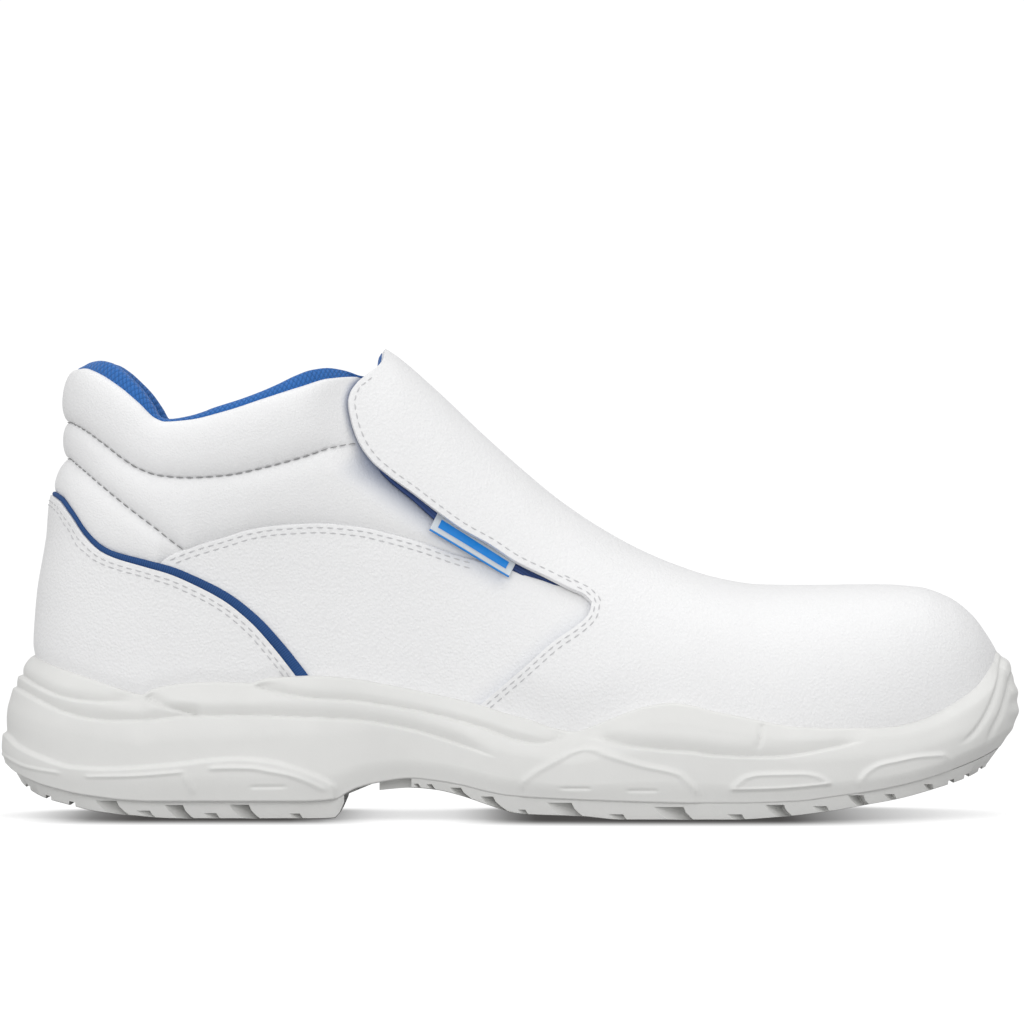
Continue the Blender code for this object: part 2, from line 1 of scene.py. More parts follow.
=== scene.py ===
"""White slip-on safety boot, modelled piece by piece around its CAD frame.

Pattern lines are in millimetres as the boot is seen from its outer side: x runs from the back of
the heel to the toe and z up from the floor. y runs to the inner side of the foot. Every panel is a
flat sheet that is laid on the last, so the last is the one shape that all pieces share.
"""

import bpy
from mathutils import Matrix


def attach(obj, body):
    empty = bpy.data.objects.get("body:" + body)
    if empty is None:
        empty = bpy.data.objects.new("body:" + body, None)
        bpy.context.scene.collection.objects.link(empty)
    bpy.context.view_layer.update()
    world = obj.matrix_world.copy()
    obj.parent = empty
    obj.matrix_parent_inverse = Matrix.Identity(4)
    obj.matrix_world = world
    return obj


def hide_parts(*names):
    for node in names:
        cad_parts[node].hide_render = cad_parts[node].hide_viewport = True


bl_info = {
    "name": "Slip-on safety boot",
    "version": (1, 0, 0),
    "blender": (4, 5, 0),
    "location": "View3D > Sidebar > Boot",
    "description": "Models a white slip-on safety boot around its CAD frame",
    "category": "Object",
}

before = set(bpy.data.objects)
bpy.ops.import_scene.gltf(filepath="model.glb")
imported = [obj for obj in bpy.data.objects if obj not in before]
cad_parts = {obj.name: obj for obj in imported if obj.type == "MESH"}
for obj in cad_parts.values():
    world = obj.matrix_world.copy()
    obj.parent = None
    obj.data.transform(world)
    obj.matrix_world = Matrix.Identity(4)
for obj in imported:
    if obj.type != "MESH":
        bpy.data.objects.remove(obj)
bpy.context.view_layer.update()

import functools
import math
from collections import namedtuple

import bpy
import numpy as np
from bpy.props import FloatProperty, FloatVectorProperty, IntProperty, PointerProperty

MM = 0.001
OUTER, INNER = -1.0, 1.0

# Sizes of the last, in millimetres
ORIGIN = np.array([152.5025, 4.7214, 0.0])
LAST_TIP = 299.0
HEEL_CENTRE = 48.0
WAIST = 112.0
BALL = 212.0
HEEL_HALF = 34.0
BALL_HALF = 49.5
WAIST_HALF_OUTER = 34.5
WAIST_HALF_INNER = 32.5
TOE_SWING = 7.0
SWING_START = 100.0
HEEL_ROUND = 2.15
TOE_ROUND = 2.5
THROAT = 110.0
OPENING_POWER = 1.2
TUCK_DEPTH = 0.09
TUCK_HEIGHT = 16.0
FLARE_FULL = 80.0
FLARE_END = 170.0
LEAN_END = 118.0
SETTLE_TURNS = 14
TOE_HOLD = 0.84


def line(*points):
    """Return a smooth function through points that stays between them."""
    places, values = np.array(points, float).T
    rise = np.diff(values) / np.diff(places)
    same_way = rise[1:] * rise[:-1] > 0
    total = np.where(same_way, rise[1:] + rise[:-1], 1.0)
    inner = np.where(same_way, 2 * rise[1:] * rise[:-1] / total, 0.0)
    slope = np.concatenate(([rise[0]], inner, [rise[-1]]))

    def at(place):
        place = np.clip(place, places[0], places[-1])
        i = np.clip(np.searchsorted(places, place, "right") - 1, 0, len(places) - 2)
        step = places[i + 1] - places[i]
        t = (place - places[i]) / step
        start = (1 + 2 * t) * (1 - t) ** 2 * values[i] + t * (1 - t) ** 2 * step * slope[i]
        end = t * t * (3 - 2 * t) * values[i + 1] + t * t * (t - 1) * step * slope[i + 1]
        return start + end

    return at


# Lines of the sole
tread_line = line((0, 19), (3, 13.5), (7.8, 8.9), (14, 5.8), (21.2, 4), (30.3, 2), (41, 0.9), (54, 0),
                  (95, 0), (101, 0.3), (104, 5.6), (107, 7.2), (115.8, 8.7), (123.2, 9.2), (130.5, 8.6),
                  (137.8, 6.9), (145, 4.5), (149.8, 2.9), (154, 1.8), (158.4, 1.4), (173, 1), (185, 0),
                  (218, 0), (233, 0.9), (247.7, 2.6), (257.4, 4.2), (267.8, 6), (278, 8.6), (288.9, 11.9),
                  (296.9, 15.5), (300, 18.6))
parting_line = line((0, 17.3), (3, 15.7), (6.6, 13.4), (14, 10.5), (19.4, 9.1), (24.8, 7.9), (32, 6.9),
                    (39.4, 6.1), (46.7, 5.8), (90, 5.8), (101.3, 6.5), (103.6, 7.9), (106.9, 9.6),
                    (113.8, 11.4), (123.2, 12.6), (130.5, 11.9), (137.8, 10.7), (145, 8.9), (152.3, 7.6),
                    (164, 6.9), (185.8, 6.1), (206.4, 5.6), (218.6, 5.6), (236.8, 6.1), (247.7, 7.4),
                    (260.5, 9.2), (271.4, 11.4), (282.3, 14.5), (289.6, 17), (299, 20.5), (305, 22.5))
floor_line = line((0, 27.6), (14, 27.2), (30, 26.8), (54, 25.8), (76, 24.6), (95, 23), (110, 21.5),
                  (124, 19.8), (138, 17.8), (150, 16.2), (171, 14.4), (200, 13.5), (218, 13.6), (235, 14.2),
                  (255, 15.5), (270, 17.6), (283, 20.4), (292, 23.5), (299, 26.5))
cup_edge = line((6, 49.6), (9.2, 48.9), (14, 46.7), (19.8, 44.6), (26.3, 42.5), (32.1, 40.5), (37.5, 38.7),
                (43.8, 37.1), (46.7, 38.6), (50.3, 39.5), (57.7, 40.5), (65, 40.8), (75.5, 40.5),
                (81.3, 42), (94, 42.6), (101.3, 42.2), (108.7, 41.3), (116, 40), (130.5, 37.1), (143.9, 34),
                (152.3, 31.4), (158.4, 29.8), (164, 27.8), (171.6, 26.3), (176.7, 27.8), (182.1, 30),
                (187.6, 32.2), (193, 33.8), (200, 34.8), (206.4, 34), (211.3, 32.6), (218.6, 31.1),
                (226.6, 29.4), (236.8, 27.7), (247.7, 27.3), (260.5, 27.3), (266, 27.6), (271.4, 28.7),
                (276.9, 30.5), (282.3, 33.3), (287.8, 36.7), (292.5, 40.9), (295.8, 45.6), (299, 49.8))

# Lines of the last
ridge_line = line((110, 139.2), (119.4, 133), (131.4, 122.6), (149.4, 106), (167.4, 91.4), (177, 85.2),
                  (185.4, 82.6), (203.4, 74.7), (221.4, 69.9), (239.4, 69), (263.4, 69.2), (275.4, 68.4),
                  (284.4, 65.3), (291, 60.3), (296.4, 53.1), (299, 48.6))
cover_ridge = line((100, 148.6), (114.9, 140), (117, 138.7), (119.4, 137), (131.4, 126.5), (143.4, 115.1),
                   (155.4, 104.3), (167.4, 94.4), (179.4, 86.3), (191.4, 79.7), (203.4, 74.7), (215.4, 71),
                   (227.4, 69.2), (239.4, 69), (263.4, 69.2), (275.4, 68.4), (284.4, 65.3), (291, 60.3),
                   (296.4, 53.1), (299, 48.6))
crown_power = line((110, 3.0), (119.4, 3.0), (149.4, 2.6), (167.4, 2.5), (185.4, 2.5), (221.4, 2.8),
                   (263.4, 3.0))
side_power = line((110, 2.4), (131.4, 2.3), (167.4, 2.1), (203.4, 2.1), (221.4, 2.2), (263.4, 2.3))
back_line = line((20, 11.6), (50, 11.1), (65, 12), (80, 14.4), (95, 17), (107, 19.8), (118, 19.8),
                 (140, 21.2))
centre_line = line((20, 48), (50, 48), (65, 50), (80, 53), (95, 56.5), (107, 59.5), (118, 61.5), (140, 64))
flare_line = line((20, 1.0), (65, 1.0), (80, 1.015), (95, 1.03), (107, 1.045), (118, 1.06), (140, 1.09))
cover_gap = line((104, 3.0), (150, 2.6), (178, 2.0), (200, 0.7), (215, 0))

# Lines of the panels
quarter_edge = line((10, 92), (20, 90), (24, 84.5), (30, 76.5), (36, 73.8), (42, 72.6), (47.4, 75),
                    (51.6, 77.9), (59.7, 81), (67.8, 83.4), (75.8, 85.8), (83.7, 87), (95.7, 87.6),
                    (107.7, 86.6), (116.7, 84.6), (126, 82), (138.3, 77.8), (150, 74.8), (156, 72.6),
                    (161.7, 70.9), (167.4, 69.2), (171, 69), (176, 68.6), (188, 64))
counter_edge = line((10, 95.6), (16.7, 95.5), (19.5, 94.2), (22.7, 90.2), (26.7, 83.9), (31.5, 79.3),
                    (35.6, 77.3), (44.4, 74.7), (51.6, 72.6), (58.8, 69.5), (67.7, 64.7), (75.8, 58.2),
                    (83, 50.2), (88.6, 43), (94.5, 35))
piping_width = line((10, 1.1), (22, 1.2), (45, 1.9), (65, 2.3), (90, 2.8))
seam_line = line((138.5, 29.4), (144.9, 35), (155.4, 44), (165.9, 53.2), (171.5, 57), (175, 60),
                 (176.2, 62.2), (176.6, 64.5))
VAMP_CORNER = 176.6
vamp_split = line((176.6, 64.5), (190, 62), (212, 57), (255, 53), (285, 50.5), (299, 47))
flap_edge = line((66.5, 174.5), (68.9, 169.5), (72.2, 162.9), (76.4, 154.2), (81.5, 146.4), (86, 138.3),
                 (91.1, 131.1), (96.8, 123.6), (101.6, 117), (106.4, 111.5), (112.1, 107.7), (118.1, 105.6),
                 (123.6, 104.7), (128.2, 106), (132, 110), (134.9, 113.5), (136.8, 114.7))
white_edge = line((10, 133.6), (21, 133.6), (24, 133.8), (27.5, 132.7), (35.6, 128.0), (42, 122.9),
                  (46.8, 118.7), (50, 117.6), (57.3, 118.1), (67.7, 120.5), (79.8, 124.4), (91.8, 128.3),
                  (99.8, 130.8), (109.5, 131.8), (120, 131))
mesh_top = line((10, 134.6), (20, 134.4), (22, 135), (24, 135.9), (26.5, 136.2), (29.4, 135.6), (33, 133.7),
                (37, 130.7), (41.4, 126.8), (45, 122.6), (48, 118.9), (51, 118.3), (57.3, 119.2),
                (65.4, 121.9), (72.5, 124.1), (79.6, 126.7), (85, 129), (91, 131.8), (95.5, 133.5),
                (100, 134.2), (104, 133.7), (109.5, 131.9), (114, 130))
upper_fold = line((10, 118), (20.3, 117.7), (23.5, 116.5), (31.5, 111.3), (38, 106.4), (42.8, 103.6),
                  (49.2, 101.6), (57.3, 101), (67.7, 101.6), (79.8, 104), (91.8, 107.3), (99.8, 110),
                  (107.1, 111.3), (118, 112))
lower_fold = line((10, 107.2), (20.5, 106.8), (23.5, 104.8), (31.5, 98.4), (39.6, 92), (47.6, 86),
                  (56.5, 79.3), (60, 77.4), (67.8, 79.6), (83.7, 83.4), (95.7, 84), (116.7, 81),
                  (138.3, 74.4), (160, 68))
# Fronts of quarters and collar. As for the flap's edge, x is given for z
quarter_front = line((20, 140), (28, 146.5), (35, 154), (53.3, 175), (60, 184), (66, 188))
collar_front = line((66, 168), (76, 158), (82, 149), (90, 138), (100, 125), (106, 119), (112, 115.5),
                    (118, 113.5), (124, 112.5), (135, 112.5))
# The collar's foot: where it changes from overlay to quarter, and its place above or behind them
FOOT_CHANGE = 47.4
FOOT_ABOVE_COUNTER, FOOT_BEHIND_QUARTER = 0.2, 1.3


def collar_foot(x):
    """Return the line where the collar goes down behind the heel overlay or the quarter's edge."""
    return np.where(x < FOOT_CHANGE, counter_edge(x) + FOOT_ABOVE_COUNTER,
                    quarter_edge(x) - FOOT_BEHIND_QUARTER)


# Rows of the flap: lower end of the row at the side and its place on the ridge
FlapRow = namedtuple("FlapRow", "x z ridge")
FLAP_ROWS = (
    FlapRow(176.6, 64.5, 176.6), FlapRow(174.5, 66.6, 175), FlapRow(169.5, 68.9, 171.5),
    FlapRow(162.9, 72.2, 166.5), FlapRow(154.2, 76.4, 160), FlapRow(146.4, 81.5, 154),
    FlapRow(138.3, 86, 147.5), FlapRow(131.1, 91.1, 141.5), FlapRow(123.6, 96.8, 135),
    FlapRow(117, 101.6, 129), FlapRow(111.5, 106.4, 124.5), FlapRow(107.7, 112.1, 121),
    FlapRow(105.6, 118.1, 118.6), FlapRow(104.7, 123.6, 116.9), FlapRow(105.4, 127, 115.8),
    FlapRow(107.2, 129.6, 115),
)
# Top edges of the flap and of the lining behind it, from the side up to the ridge
FLAP_TOP = ((107.2, 129.6), (110, 132), (113.5, 134.9), (114.7, 136.8), (114.9, 138.4), (115, 139.9))
LINING_TOP = ((110.9, 130), (112.4, 133), (113.2, 135.4), (113.4, 137.4), (113.6, 139.2), (114, 140.5))
# Rows of the gusset, given as the flap's
GUSSET_ROWS = (
    FlapRow(181, 59, 182), FlapRow(173.4, 64, 174.5), FlapRow(168.8, 65.6, 171), FlapRow(162.2, 68.2, 166),
    FlapRow(153.5, 73, 159.5), FlapRow(145.6, 79, 153.5), FlapRow(137.5, 84.4, 147),
    FlapRow(130.4, 90, 141), FlapRow(123.4, 96.4, 134.8), FlapRow(117.2, 101.5, 129.2),
    FlapRow(113.6, 105.6, 125.4), FlapRow(112.6, 108.4, 124),
)
# Corners of the tab seen from the side: its upper edge, then its lower edge
TAG_CORNERS = np.array([[131.0, 90.8], [154.2, 75.8], [128.3, 85.1], [151.8, 71.0]])

# Rings of the cup's side wall: distance out from the last by share of the wall's height
heel_wall = line((0, 8.8), (0.13, 9.8), (0.28, 9.5), (0.4, 9.6), (0.5, 9.35), (0.61, 8.5), (0.75, 7.2),
                 (0.89, 5.0), (0.96, 3.3), (1, 2.0))
flank_wall = line((0, 5.2), (0.22, 6.3), (0.5, 6.2), (0.8, 4.6), (0.95, 2.9), (1, 2.2))
toe_wall = line((0, 1.0), (0.05, 2.2), (0.24, 5.8), (0.38, 6.2), (0.5, 6.0), (0.68, 5.1), (0.86, 3.7),
                (0.94, 1.5), (1, -1.3))

# Relief of the cup's side wall: grooves with a soft slope above and a ledge below
Groove = namedtuple("Groove", "path start end depth above below fade")
GROOVES = (
    Groove(line((0, 44), (5.2, 42.3), (10.3, 39.8), (17.6, 36.9), (24.8, 35.4), (32.1, 34.9), (39.3, 35.2),
                (45, 36.4)), -5, 43, 1.15, 4.4, 0.8, 8),
    Groove(line((0, 40), (3.9, 38.7), (10.3, 36), (17.6, 32.7), (26.7, 30.2), (35.7, 29.4), (44.9, 29.6),
                (59.4, 30.9), (75.8, 30.9), (90.3, 30.5), (107.4, 29.6), (123.2, 27), (134.1, 23.8),
                (149, 18.6)), -5, 149, 1.25, 4.8, 0.8, 14),
    Groove(line((43.5, 37), (44.4, 36.5), (48.6, 34.4), (52.2, 32.9), (55.8, 32.1), (60.5, 30.9)), 43.6,
           61.5, 1.1, 4.0, 0.8, 2),
    Groove(line((75, 40.9), (75.5, 40.7), (79.5, 38.9), (86.7, 37.1), (95.9, 35.8), (107.4, 35.2),
                (112.2, 34.5), (123.2, 32.7), (134.1, 30.3), (145, 27.2), (154.1, 23.9), (160.2, 22.9),
                (165, 23.4), (169, 25.2)), 75.2, 169, 1.2, 4.4, 0.8, 3),
    Groove(line((172, 25.4), (174, 24.9), (178.5, 24.5), (185.7, 22.5), (196.7, 21.2), (206.4, 20.5),
                (211.2, 19.8), (222.2, 19.2), (229.5, 19.2), (236.7, 19.8), (245.9, 21.4), (251.3, 22.5),
                (258, 24.2)), 173, 258, 1.35, 5.4, 0.85, 9),
)
# Grooves that stand upright: x is given for z
UprightGroove = namedtuple("UprightGroove", "path start end depth width fade")
UPRIGHT_GROOVES = (
    UprightGroove(line((20, 225), (29.4, 226.9)), 20.5, 30, 0.55, 0.55, 2),
    UprightGroove(line((20, 283), (21.8, 285.9), (26.1, 290.7), (32.3, 295), (40.7, 298.7), (46.1, 300.1),
                       (49, 300.8)), 21.5, 50, 0.75, 0.8, 4),
    UprightGroove(line((20, 293), (22.5, 294.6), (25.8, 295.8), (30.9, 298.7), (38.1, 301.6), (42.9, 303.4),
                       (48, 305)), 21.5, 46, 0.7, 0.8, 4),
)
# Upper and lower line of the pad under the ball, shared by its ribs and its raised field
pad_top = line((216.4, 8), (218.6, 10.5), (222.2, 13.1), (225.8, 13.8), (238.5, 14), (242.2, 13.4),
               (247.3, 10.5))
pad_foot = line((216, 9.2), (231.3, 9.6), (247.6, 11))
# Raised ribs along a line
Rib = namedtuple("Rib", "path start end height width fade")
RIBS = (
    Rib(line((154.6, 7.6), (156.6, 11.6), (164, 16.7), (173, 21.0), (174.8, 21.4), (176.3, 21.2),
             (182.1, 19.2), (191.2, 16.5), (201.8, 14), (204, 12.3), (208.4, 7.8)), 155, 208.2, 0.45, 0.75,
        1.5),
    Rib(pad_top, 216.6, 247.2, 0.45, 0.65, 1.5),
    Rib(pad_foot, 217.2, 247.2, 0.4, 0.55, 1.5),
    Rib(line((254, 7.8), (255.1, 11.2), (257.6, 14.5), (261.6, 16.7), (266, 17.6), (273.2, 18.9),
             (279.8, 19.2), (282.5, 17.6)), 254.3, 282.4, 0.5, 0.7, 1.5),
    Rib(line((61, 14.7), (63.6, 15.2), (70.5, 15.4), (75.9, 15.3), (81.3, 14.4), (86.7, 13.4), (92.1, 11.6),
             (98.7, 8.4)), 63, 98.7, 0.45, 0.6, 2),
    Rib(line((26.5, 12.7), (40, 13), (56.1, 14.2)), 27.3, 56, 0.4, 0.5, 1.0),
    Rib(line((55.6, 14.6), (59.4, 7.4)), 55.9, 59.4, 0.4, 0.6, 0.6),
    Rib(line((2, 18.4), (10, 15.2), (20.4, 13.6)), -2, 20.4, 0.35, 0.5, 1.0),
    Rib(line((167, 9.6), (176.4, 9.6)), 167.2, 176.3, -0.3, 0.45, 0.6),
    Rib(line((186, 9.0), (196, 9.0)), 186.8, 195.9, -0.3, 0.45, 0.6),
    Rib(line((75, 9.8), (87, 9.9)), 75.6, 86.4, -0.3, 0.45, 0.6),
)
# Raised fields between an upper and a lower line
Field = namedtuple("Field", "top bottom start end height soft")
FIELDS = (
    Field(line((-2, 25.6), (2.1, 24.7), (6.6, 21.4), (14, 18.2), (23, 15.6), (32.1, 15.1), (43, 15.6),
               (56.4, 16.7), (61.2, 17.4), (72.2, 18.2), (81.3, 17.4), (90.3, 14.9), (99.5, 10.9),
               (102, 8.6)), line((-2, 4), (102, 4)), -5, 101.5, 1.1, 1.3),
    Field(line((155, 8.4), (156.6, 11.6), (164, 16.7), (173, 21.0), (176.3, 21.2), (182.1, 19.2),
               (191.2, 16.5), (201.8, 14), (204, 12.3), (208.4, 7.8)), line((150, 3), (210, 3)), 155, 208.4,
          0.35, 1.0),
    Field(pad_top, pad_foot, 216.6, 247.2, 0.4, 0.8),
    Field(line((254, 7.8), (255.1, 11.2), (257.6, 14.5), (261.6, 16.7), (266, 17.6), (273.2, 18.9),
               (279.8, 19.2), (284, 17)), line((250, 3), (290, 6)), 254.3, 284, 0.45, 0.9),
)

# Gaps between the lugs: place and width seen from the side, and height above the tread's lower edge
Gap = namedtuple("Gap", "x width depth")
WIDE_GAPS = (
    Gap(35.0, 5.6, 4.2), Gap(54.8, 4.6, 4.4), Gap(74.9, 5.0, 4.5), Gap(137.4, 3.0, 2.6),
    Gap(147.2, 3.4, 3.2), Gap(168.8, 6.4, 4.2), Gap(200.6, 7.6, 4.2), Gap(232.2, 4.8, 4.0),
    Gap(255.6, 4.0, 3.6),
)
SMALL_GAPS = (
    Gap(45.6, 3.6, 2.2), Gap(65.2, 3.4, 2.0), Gap(89.2, 2.8, 1.9), Gap(124.8, 1.2, 1.6),
    Gap(129.2, 1.4, 1.8), Gap(157.2, 2.0, 1.7), Gap(184.2, 4.0, 2.0), Gap(219.8, 4.0, 2.0),
    Gap(244.0, 3.6, 2.2), Gap(265.6, 2.6, 2.2), Gap(277.0, 2.4, 2.2),
)
CROSS_GAPS = (
    Gap(8.8, 1.8, 1.3), Gap(15.4, 2.0, 1.4), Gap(22.8, 2.2, 1.5), Gap(283.2, 2.2, 1.5),
    Gap(288.2, 2.0, 1.4), Gap(293.0, 1.8, 1.3),
)


# Mixing, easing and arrays of points
TINY = 1e-9


def mix(a, b, share):
    """Return the value that lies the given share of the way from a to b."""
    return a + (b - a) * share


def ease(share):
    """Return a share from 0 to 1 that starts and stops gently."""
    share = np.clip(share, 0.0, 1.0)
    return share * share * (3 - 2 * share)


def through(knots, share):
    """Return the smooth way through a list of arrays, at shares from 0 to 1 along it."""
    knots = [knots[0]] + list(knots) + [knots[-1]]
    spans = len(knots) - 3
    place = np.clip(share, 0, 1) * spans
    index = np.minimum(place.astype(int), spans - 1)
    t = place - index
    stack = np.stack(np.broadcast_arrays(*knots))
    a, b, c, d = [np.take_along_axis(stack, (index + i)[None], 0)[0] for i in range(4)]
    return b + 0.5 * t * (c - a + t * (2 * a - 5 * b + 4 * c - d + t * (3 * (b - c) + d - a)))


def unit(vectors):
    """Return vectors with their length made 1."""
    return vectors / np.maximum(np.linalg.norm(vectors, axis=-1, keepdims=True), TINY)


def lengths_along(path):
    """Return how far along a path of points each of them lies."""
    return np.concatenate(([0], np.cumsum(np.linalg.norm(np.diff(path, axis=0), axis=1))))


def points_of(x, y, z):
    """Return an array of points from arrays of their coordinates."""
    return np.stack(np.broadcast_arrays(x, y, z), axis=-1)


# The shape of the last
def middle(x):
    """Return the middle line of the foot, which swings to the inner side at the toe."""
    return TOE_SWING * ease((x - SWING_START) / (LAST_TIP - SWING_START))


def half_width(x, side):
    """Return the last's half width at its widest level."""
    waist = np.where(side < 0, WAIST_HALF_OUTER, WAIST_HALF_INNER)
    rear = mix(HEEL_HALF, waist, ease((x - HEEL_CENTRE) / (WAIST - HEEL_CENTRE)))
    fore = mix(waist, BALL_HALF, ease((x - WAIST) / (BALL - WAIST)))
    reach = np.clip((x - BALL) / (LAST_TIP - BALL), 0.0, 1.0)
    toe = BALL_HALF * (1 - reach ** TOE_ROUND) ** (1 / TOE_ROUND)
    return np.where(x < WAIST, rear, np.where(x < BALL, fore, toe))


def tuck(x, z):
    """Return the share of the last's width that is left where it is drawn in towards its lower edge."""
    low = 1 - np.clip((z - floor_line(x)) / TUCK_HEIGHT, 0.0, 1.0)
    return 1 - TUCK_DEPTH * low * low


def closing(x, z):
    """Return how far the leg has closed over the foot: none at the heel's round, all at the throat."""
    open_share = np.maximum(THROAT - x, 0.0) / (THROAT - centre_line(z))
    return np.maximum(1 - open_share ** OPENING_POWER, 0.0)


def arch_share(x, z, ridge):
    """Return the share of the arch's height that z reaches."""
    height = ridge(x) - floor_line(np.maximum(x, THROAT))
    closed = 1.0 if ridge is cover_ridge else closing(x, z)
    return np.clip((z - floor_line(x)) * closed / height, 0.0, 1.0)


def cover_height(x, share):
    """Return the height z where the cover's arch reaches a share of its height."""
    return floor_line(x) + share * (cover_ridge(x) - floor_line(np.maximum(x, THROAT)))


def on_flank(x, z, side, ridge=ridge_line, gap=0.0):
    """Return points of the last in front of the heel's round, or of a cover that lies a gap outside it."""
    share = arch_share(x, z, ridge)
    fade = 1 - ease((x - FLARE_FULL) / (FLARE_END - FLARE_FULL))
    flare = 1 + (flare_line(z) - 1) * fade
    arch = np.clip(1 - share ** crown_power(x), 0.0, 1.0) ** (1 / side_power(x))
    half = (half_width(x, side) + gap) * tuck(x, z) * flare * arch
    return points_of(x, middle(x) + side * half, z)


def on_heel(angle, z, side):
    """Return points of the last on the round of the heel."""
    drawn = tuck(HEEL_CENTRE, z)
    depth = (centre_line(z) - back_line(z)) * drawn
    reach = depth * np.clip(np.cos(angle), 0, 1) ** (2 / HEEL_ROUND)
    half = HEEL_HALF * drawn * flare_line(z) * np.sin(angle) ** (2 / HEEL_ROUND)
    return points_of(centre_line(z) - reach, side * half, z)


def on_last(place, z, side):
    """Return points of the last, by a place that is 0 at the back, 1 where the heel's round ends, and on."""
    place, z, side = np.broadcast_arrays(place, z, side)
    start = HEEL_CENTRE * np.maximum(place, 1.0)
    behind = np.maximum(LEAN_END - start, 0.0) / (LEAN_END - HEEL_CENTRE)
    flank = on_flank(start + behind * (centre_line(z) - HEEL_CENTRE), z, side)
    heel = on_heel(np.clip(place, 0, 1) * math.pi / 2, z, side)
    return np.where((place < 1)[..., None], heel, flank)


def place_of(x, z):
    """Return the place on the last of a point seen at x and z from the side."""
    centre, back = centre_line(z), back_line(z)
    lean = (centre - HEEL_CENTRE) / (LEAN_END - HEEL_CENTRE)
    start = np.where(x < LEAN_END, (x - LEAN_END * lean) / (1 - lean), x)
    reach = np.clip((centre - x) / ((centre - back) * tuck(HEEL_CENTRE, z)), 0.0, 1.0)
    angle = np.arccos(reach ** (HEEL_ROUND / 2))
    return np.where(x < centre, angle * 2 / math.pi, start / HEEL_CENTRE)


def facing(shape, place, z, side, step=0.02, rise=0.3):
    """Return the outward directions of a surface given by a function of place, height and side."""
    place = np.maximum(place, 2 * step)
    along = shape(place + step, z, side) - shape(place - step, z, side)
    up = shape(place, z + rise, side) - shape(place, z - rise, side)
    return unit(np.cross(along, up) * -np.asarray(side)[..., None])


# The cover of the last: the outer face of vamp and flap
HELD_SHARE = 0.45
HELD_HEIGHT = 15.0
COVER_STEP = 0.4
CORE_SHARE = 0.4


def on_cover(x, z, side):
    """Return points of the cover, which stands off the last, but less where the sole holds it."""
    gap = cover_gap(x) * mix(HELD_SHARE, 1.0, ease((z - cup_edge(x)) / HELD_HEIGHT))
    return on_flank(x, z, side, cover_ridge, gap)


def cover_facing(x, z, side):
    """Return the outward directions of the cover."""
    return facing(on_cover, x, z, side, COVER_STEP, COVER_STEP)


def over_instep(x, z):
    """Return a sheet of the cover from its outer edge over the ridge to its inner edge."""
    outer, inner = on_cover(x, z, OUTER), on_cover(x, z, INNER)
    return np.concatenate((outer, inner[:, -2::-1]), axis=1)


def sunk(points, depth):
    """Return points of the forefoot or instep moved by a depth towards the middle of the foot."""
    x, y, z = np.moveaxis(points, -1, 0)
    core = mix(floor_line(x), cover_ridge(x), CORE_SHARE)
    return points + unit(points_of(0 * x, middle(x) - y, core - z)) * depth


# Places on a sheet
def grid(columns, rows):
    """Return the places across and along a sheet, from 0 to 1."""
    return np.meshgrid(np.linspace(0, 1, columns + 1), np.linspace(0, 1, rows + 1))


def both_sides(u):
    """Return how far places across a sheet lie from the back of the heel, from 0 to 1, and their sides."""
    return np.abs(2 * u - 1), np.where(u < 0.5, INNER, OUTER)


def wrapped(u, v, low, high, front):
    """Return places, heights and sides of a sheet around the heel, from low to high, that ends at a front."""
    reach, side = both_sides(u)
    z = mix(low(HEEL_CENTRE), high(HEEL_CENTRE), v)
    for _ in range(SETTLE_TURNS):
        place = reach * place_of(front(z), z)
        x = on_last(place, z, side)[..., 0]
        z = mix(low(x), high(x), v)
    return place, z, side


# Modelling
EDGE_SEGMENTS = 3
EDGE_ANGLE = 55.0


def only(piece):
    """Select one object and make it the active one."""
    bpy.ops.object.select_all(action="DESELECT")
    piece.select_set(True)
    bpy.context.view_layer.objects.active = piece


def edit_all(piece):
    """Open an object in edit mode with all of it selected."""
    only(piece)
    bpy.ops.object.mode_set(mode="EDIT")
    bpy.ops.mesh.select_all(action="SELECT")


def end_edit():
    """Leave edit mode."""
    bpy.ops.object.mode_set(mode="OBJECT")


def corners_of(piece):
    """Return the places of a piece's vertices as an array."""
    places = np.empty(len(piece.data.vertices) * 3)
    piece.data.vertices.foreach_get("co", places)
    return places.reshape(-1, 3)


def laid_sheet(name, points):
    """Add a flat sheet, lay it on an array of points in millimetres and give it a UV map in metres."""
    rows, columns = points.shape[0] - 1, points.shape[1] - 1
    bpy.ops.object.select_all(action="DESELECT")
    bpy.ops.mesh.primitive_grid_add(x_subdivisions=columns, y_subdivisions=rows, size=1.0,
                                    location=(0, 0, 0))
    piece = bpy.context.object
    piece.name = piece.data.name = name
    flat = corners_of(piece)
    column = np.rint((flat[:, 0] + 0.5) * columns).astype(int)
    row = np.rint((flat[:, 1] + 0.5) * rows).astype(int)
    piece.data.vertices.foreach_set("co", ((points[row, column] - ORIGIN) * MM).ravel())
    across = np.linalg.norm(np.diff(points, axis=1), axis=2).mean(axis=0)
    along = np.linalg.norm(np.diff(points, axis=0), axis=2).mean(axis=1)
    u, v = [np.concatenate(([0], np.cumsum(steps))) * MM for steps in (across, along)]
    corner = np.empty(len(piece.data.loops), int)
    piece.data.loops.foreach_get("vertex_index", corner)
    chart = np.stack([u[column[corner]], v[row[corner]]], axis=1)
    piece.data.uv_layers[0].data.foreach_set("uv", chart.ravel())
    piece.data.update()
    return piece


def joined(pieces):
    """Join objects into the first of them and return it."""
    only(pieces[0])
    for piece in pieces[1:]:
        piece.select_set(True)
    bpy.ops.object.join()
    return pieces[0]


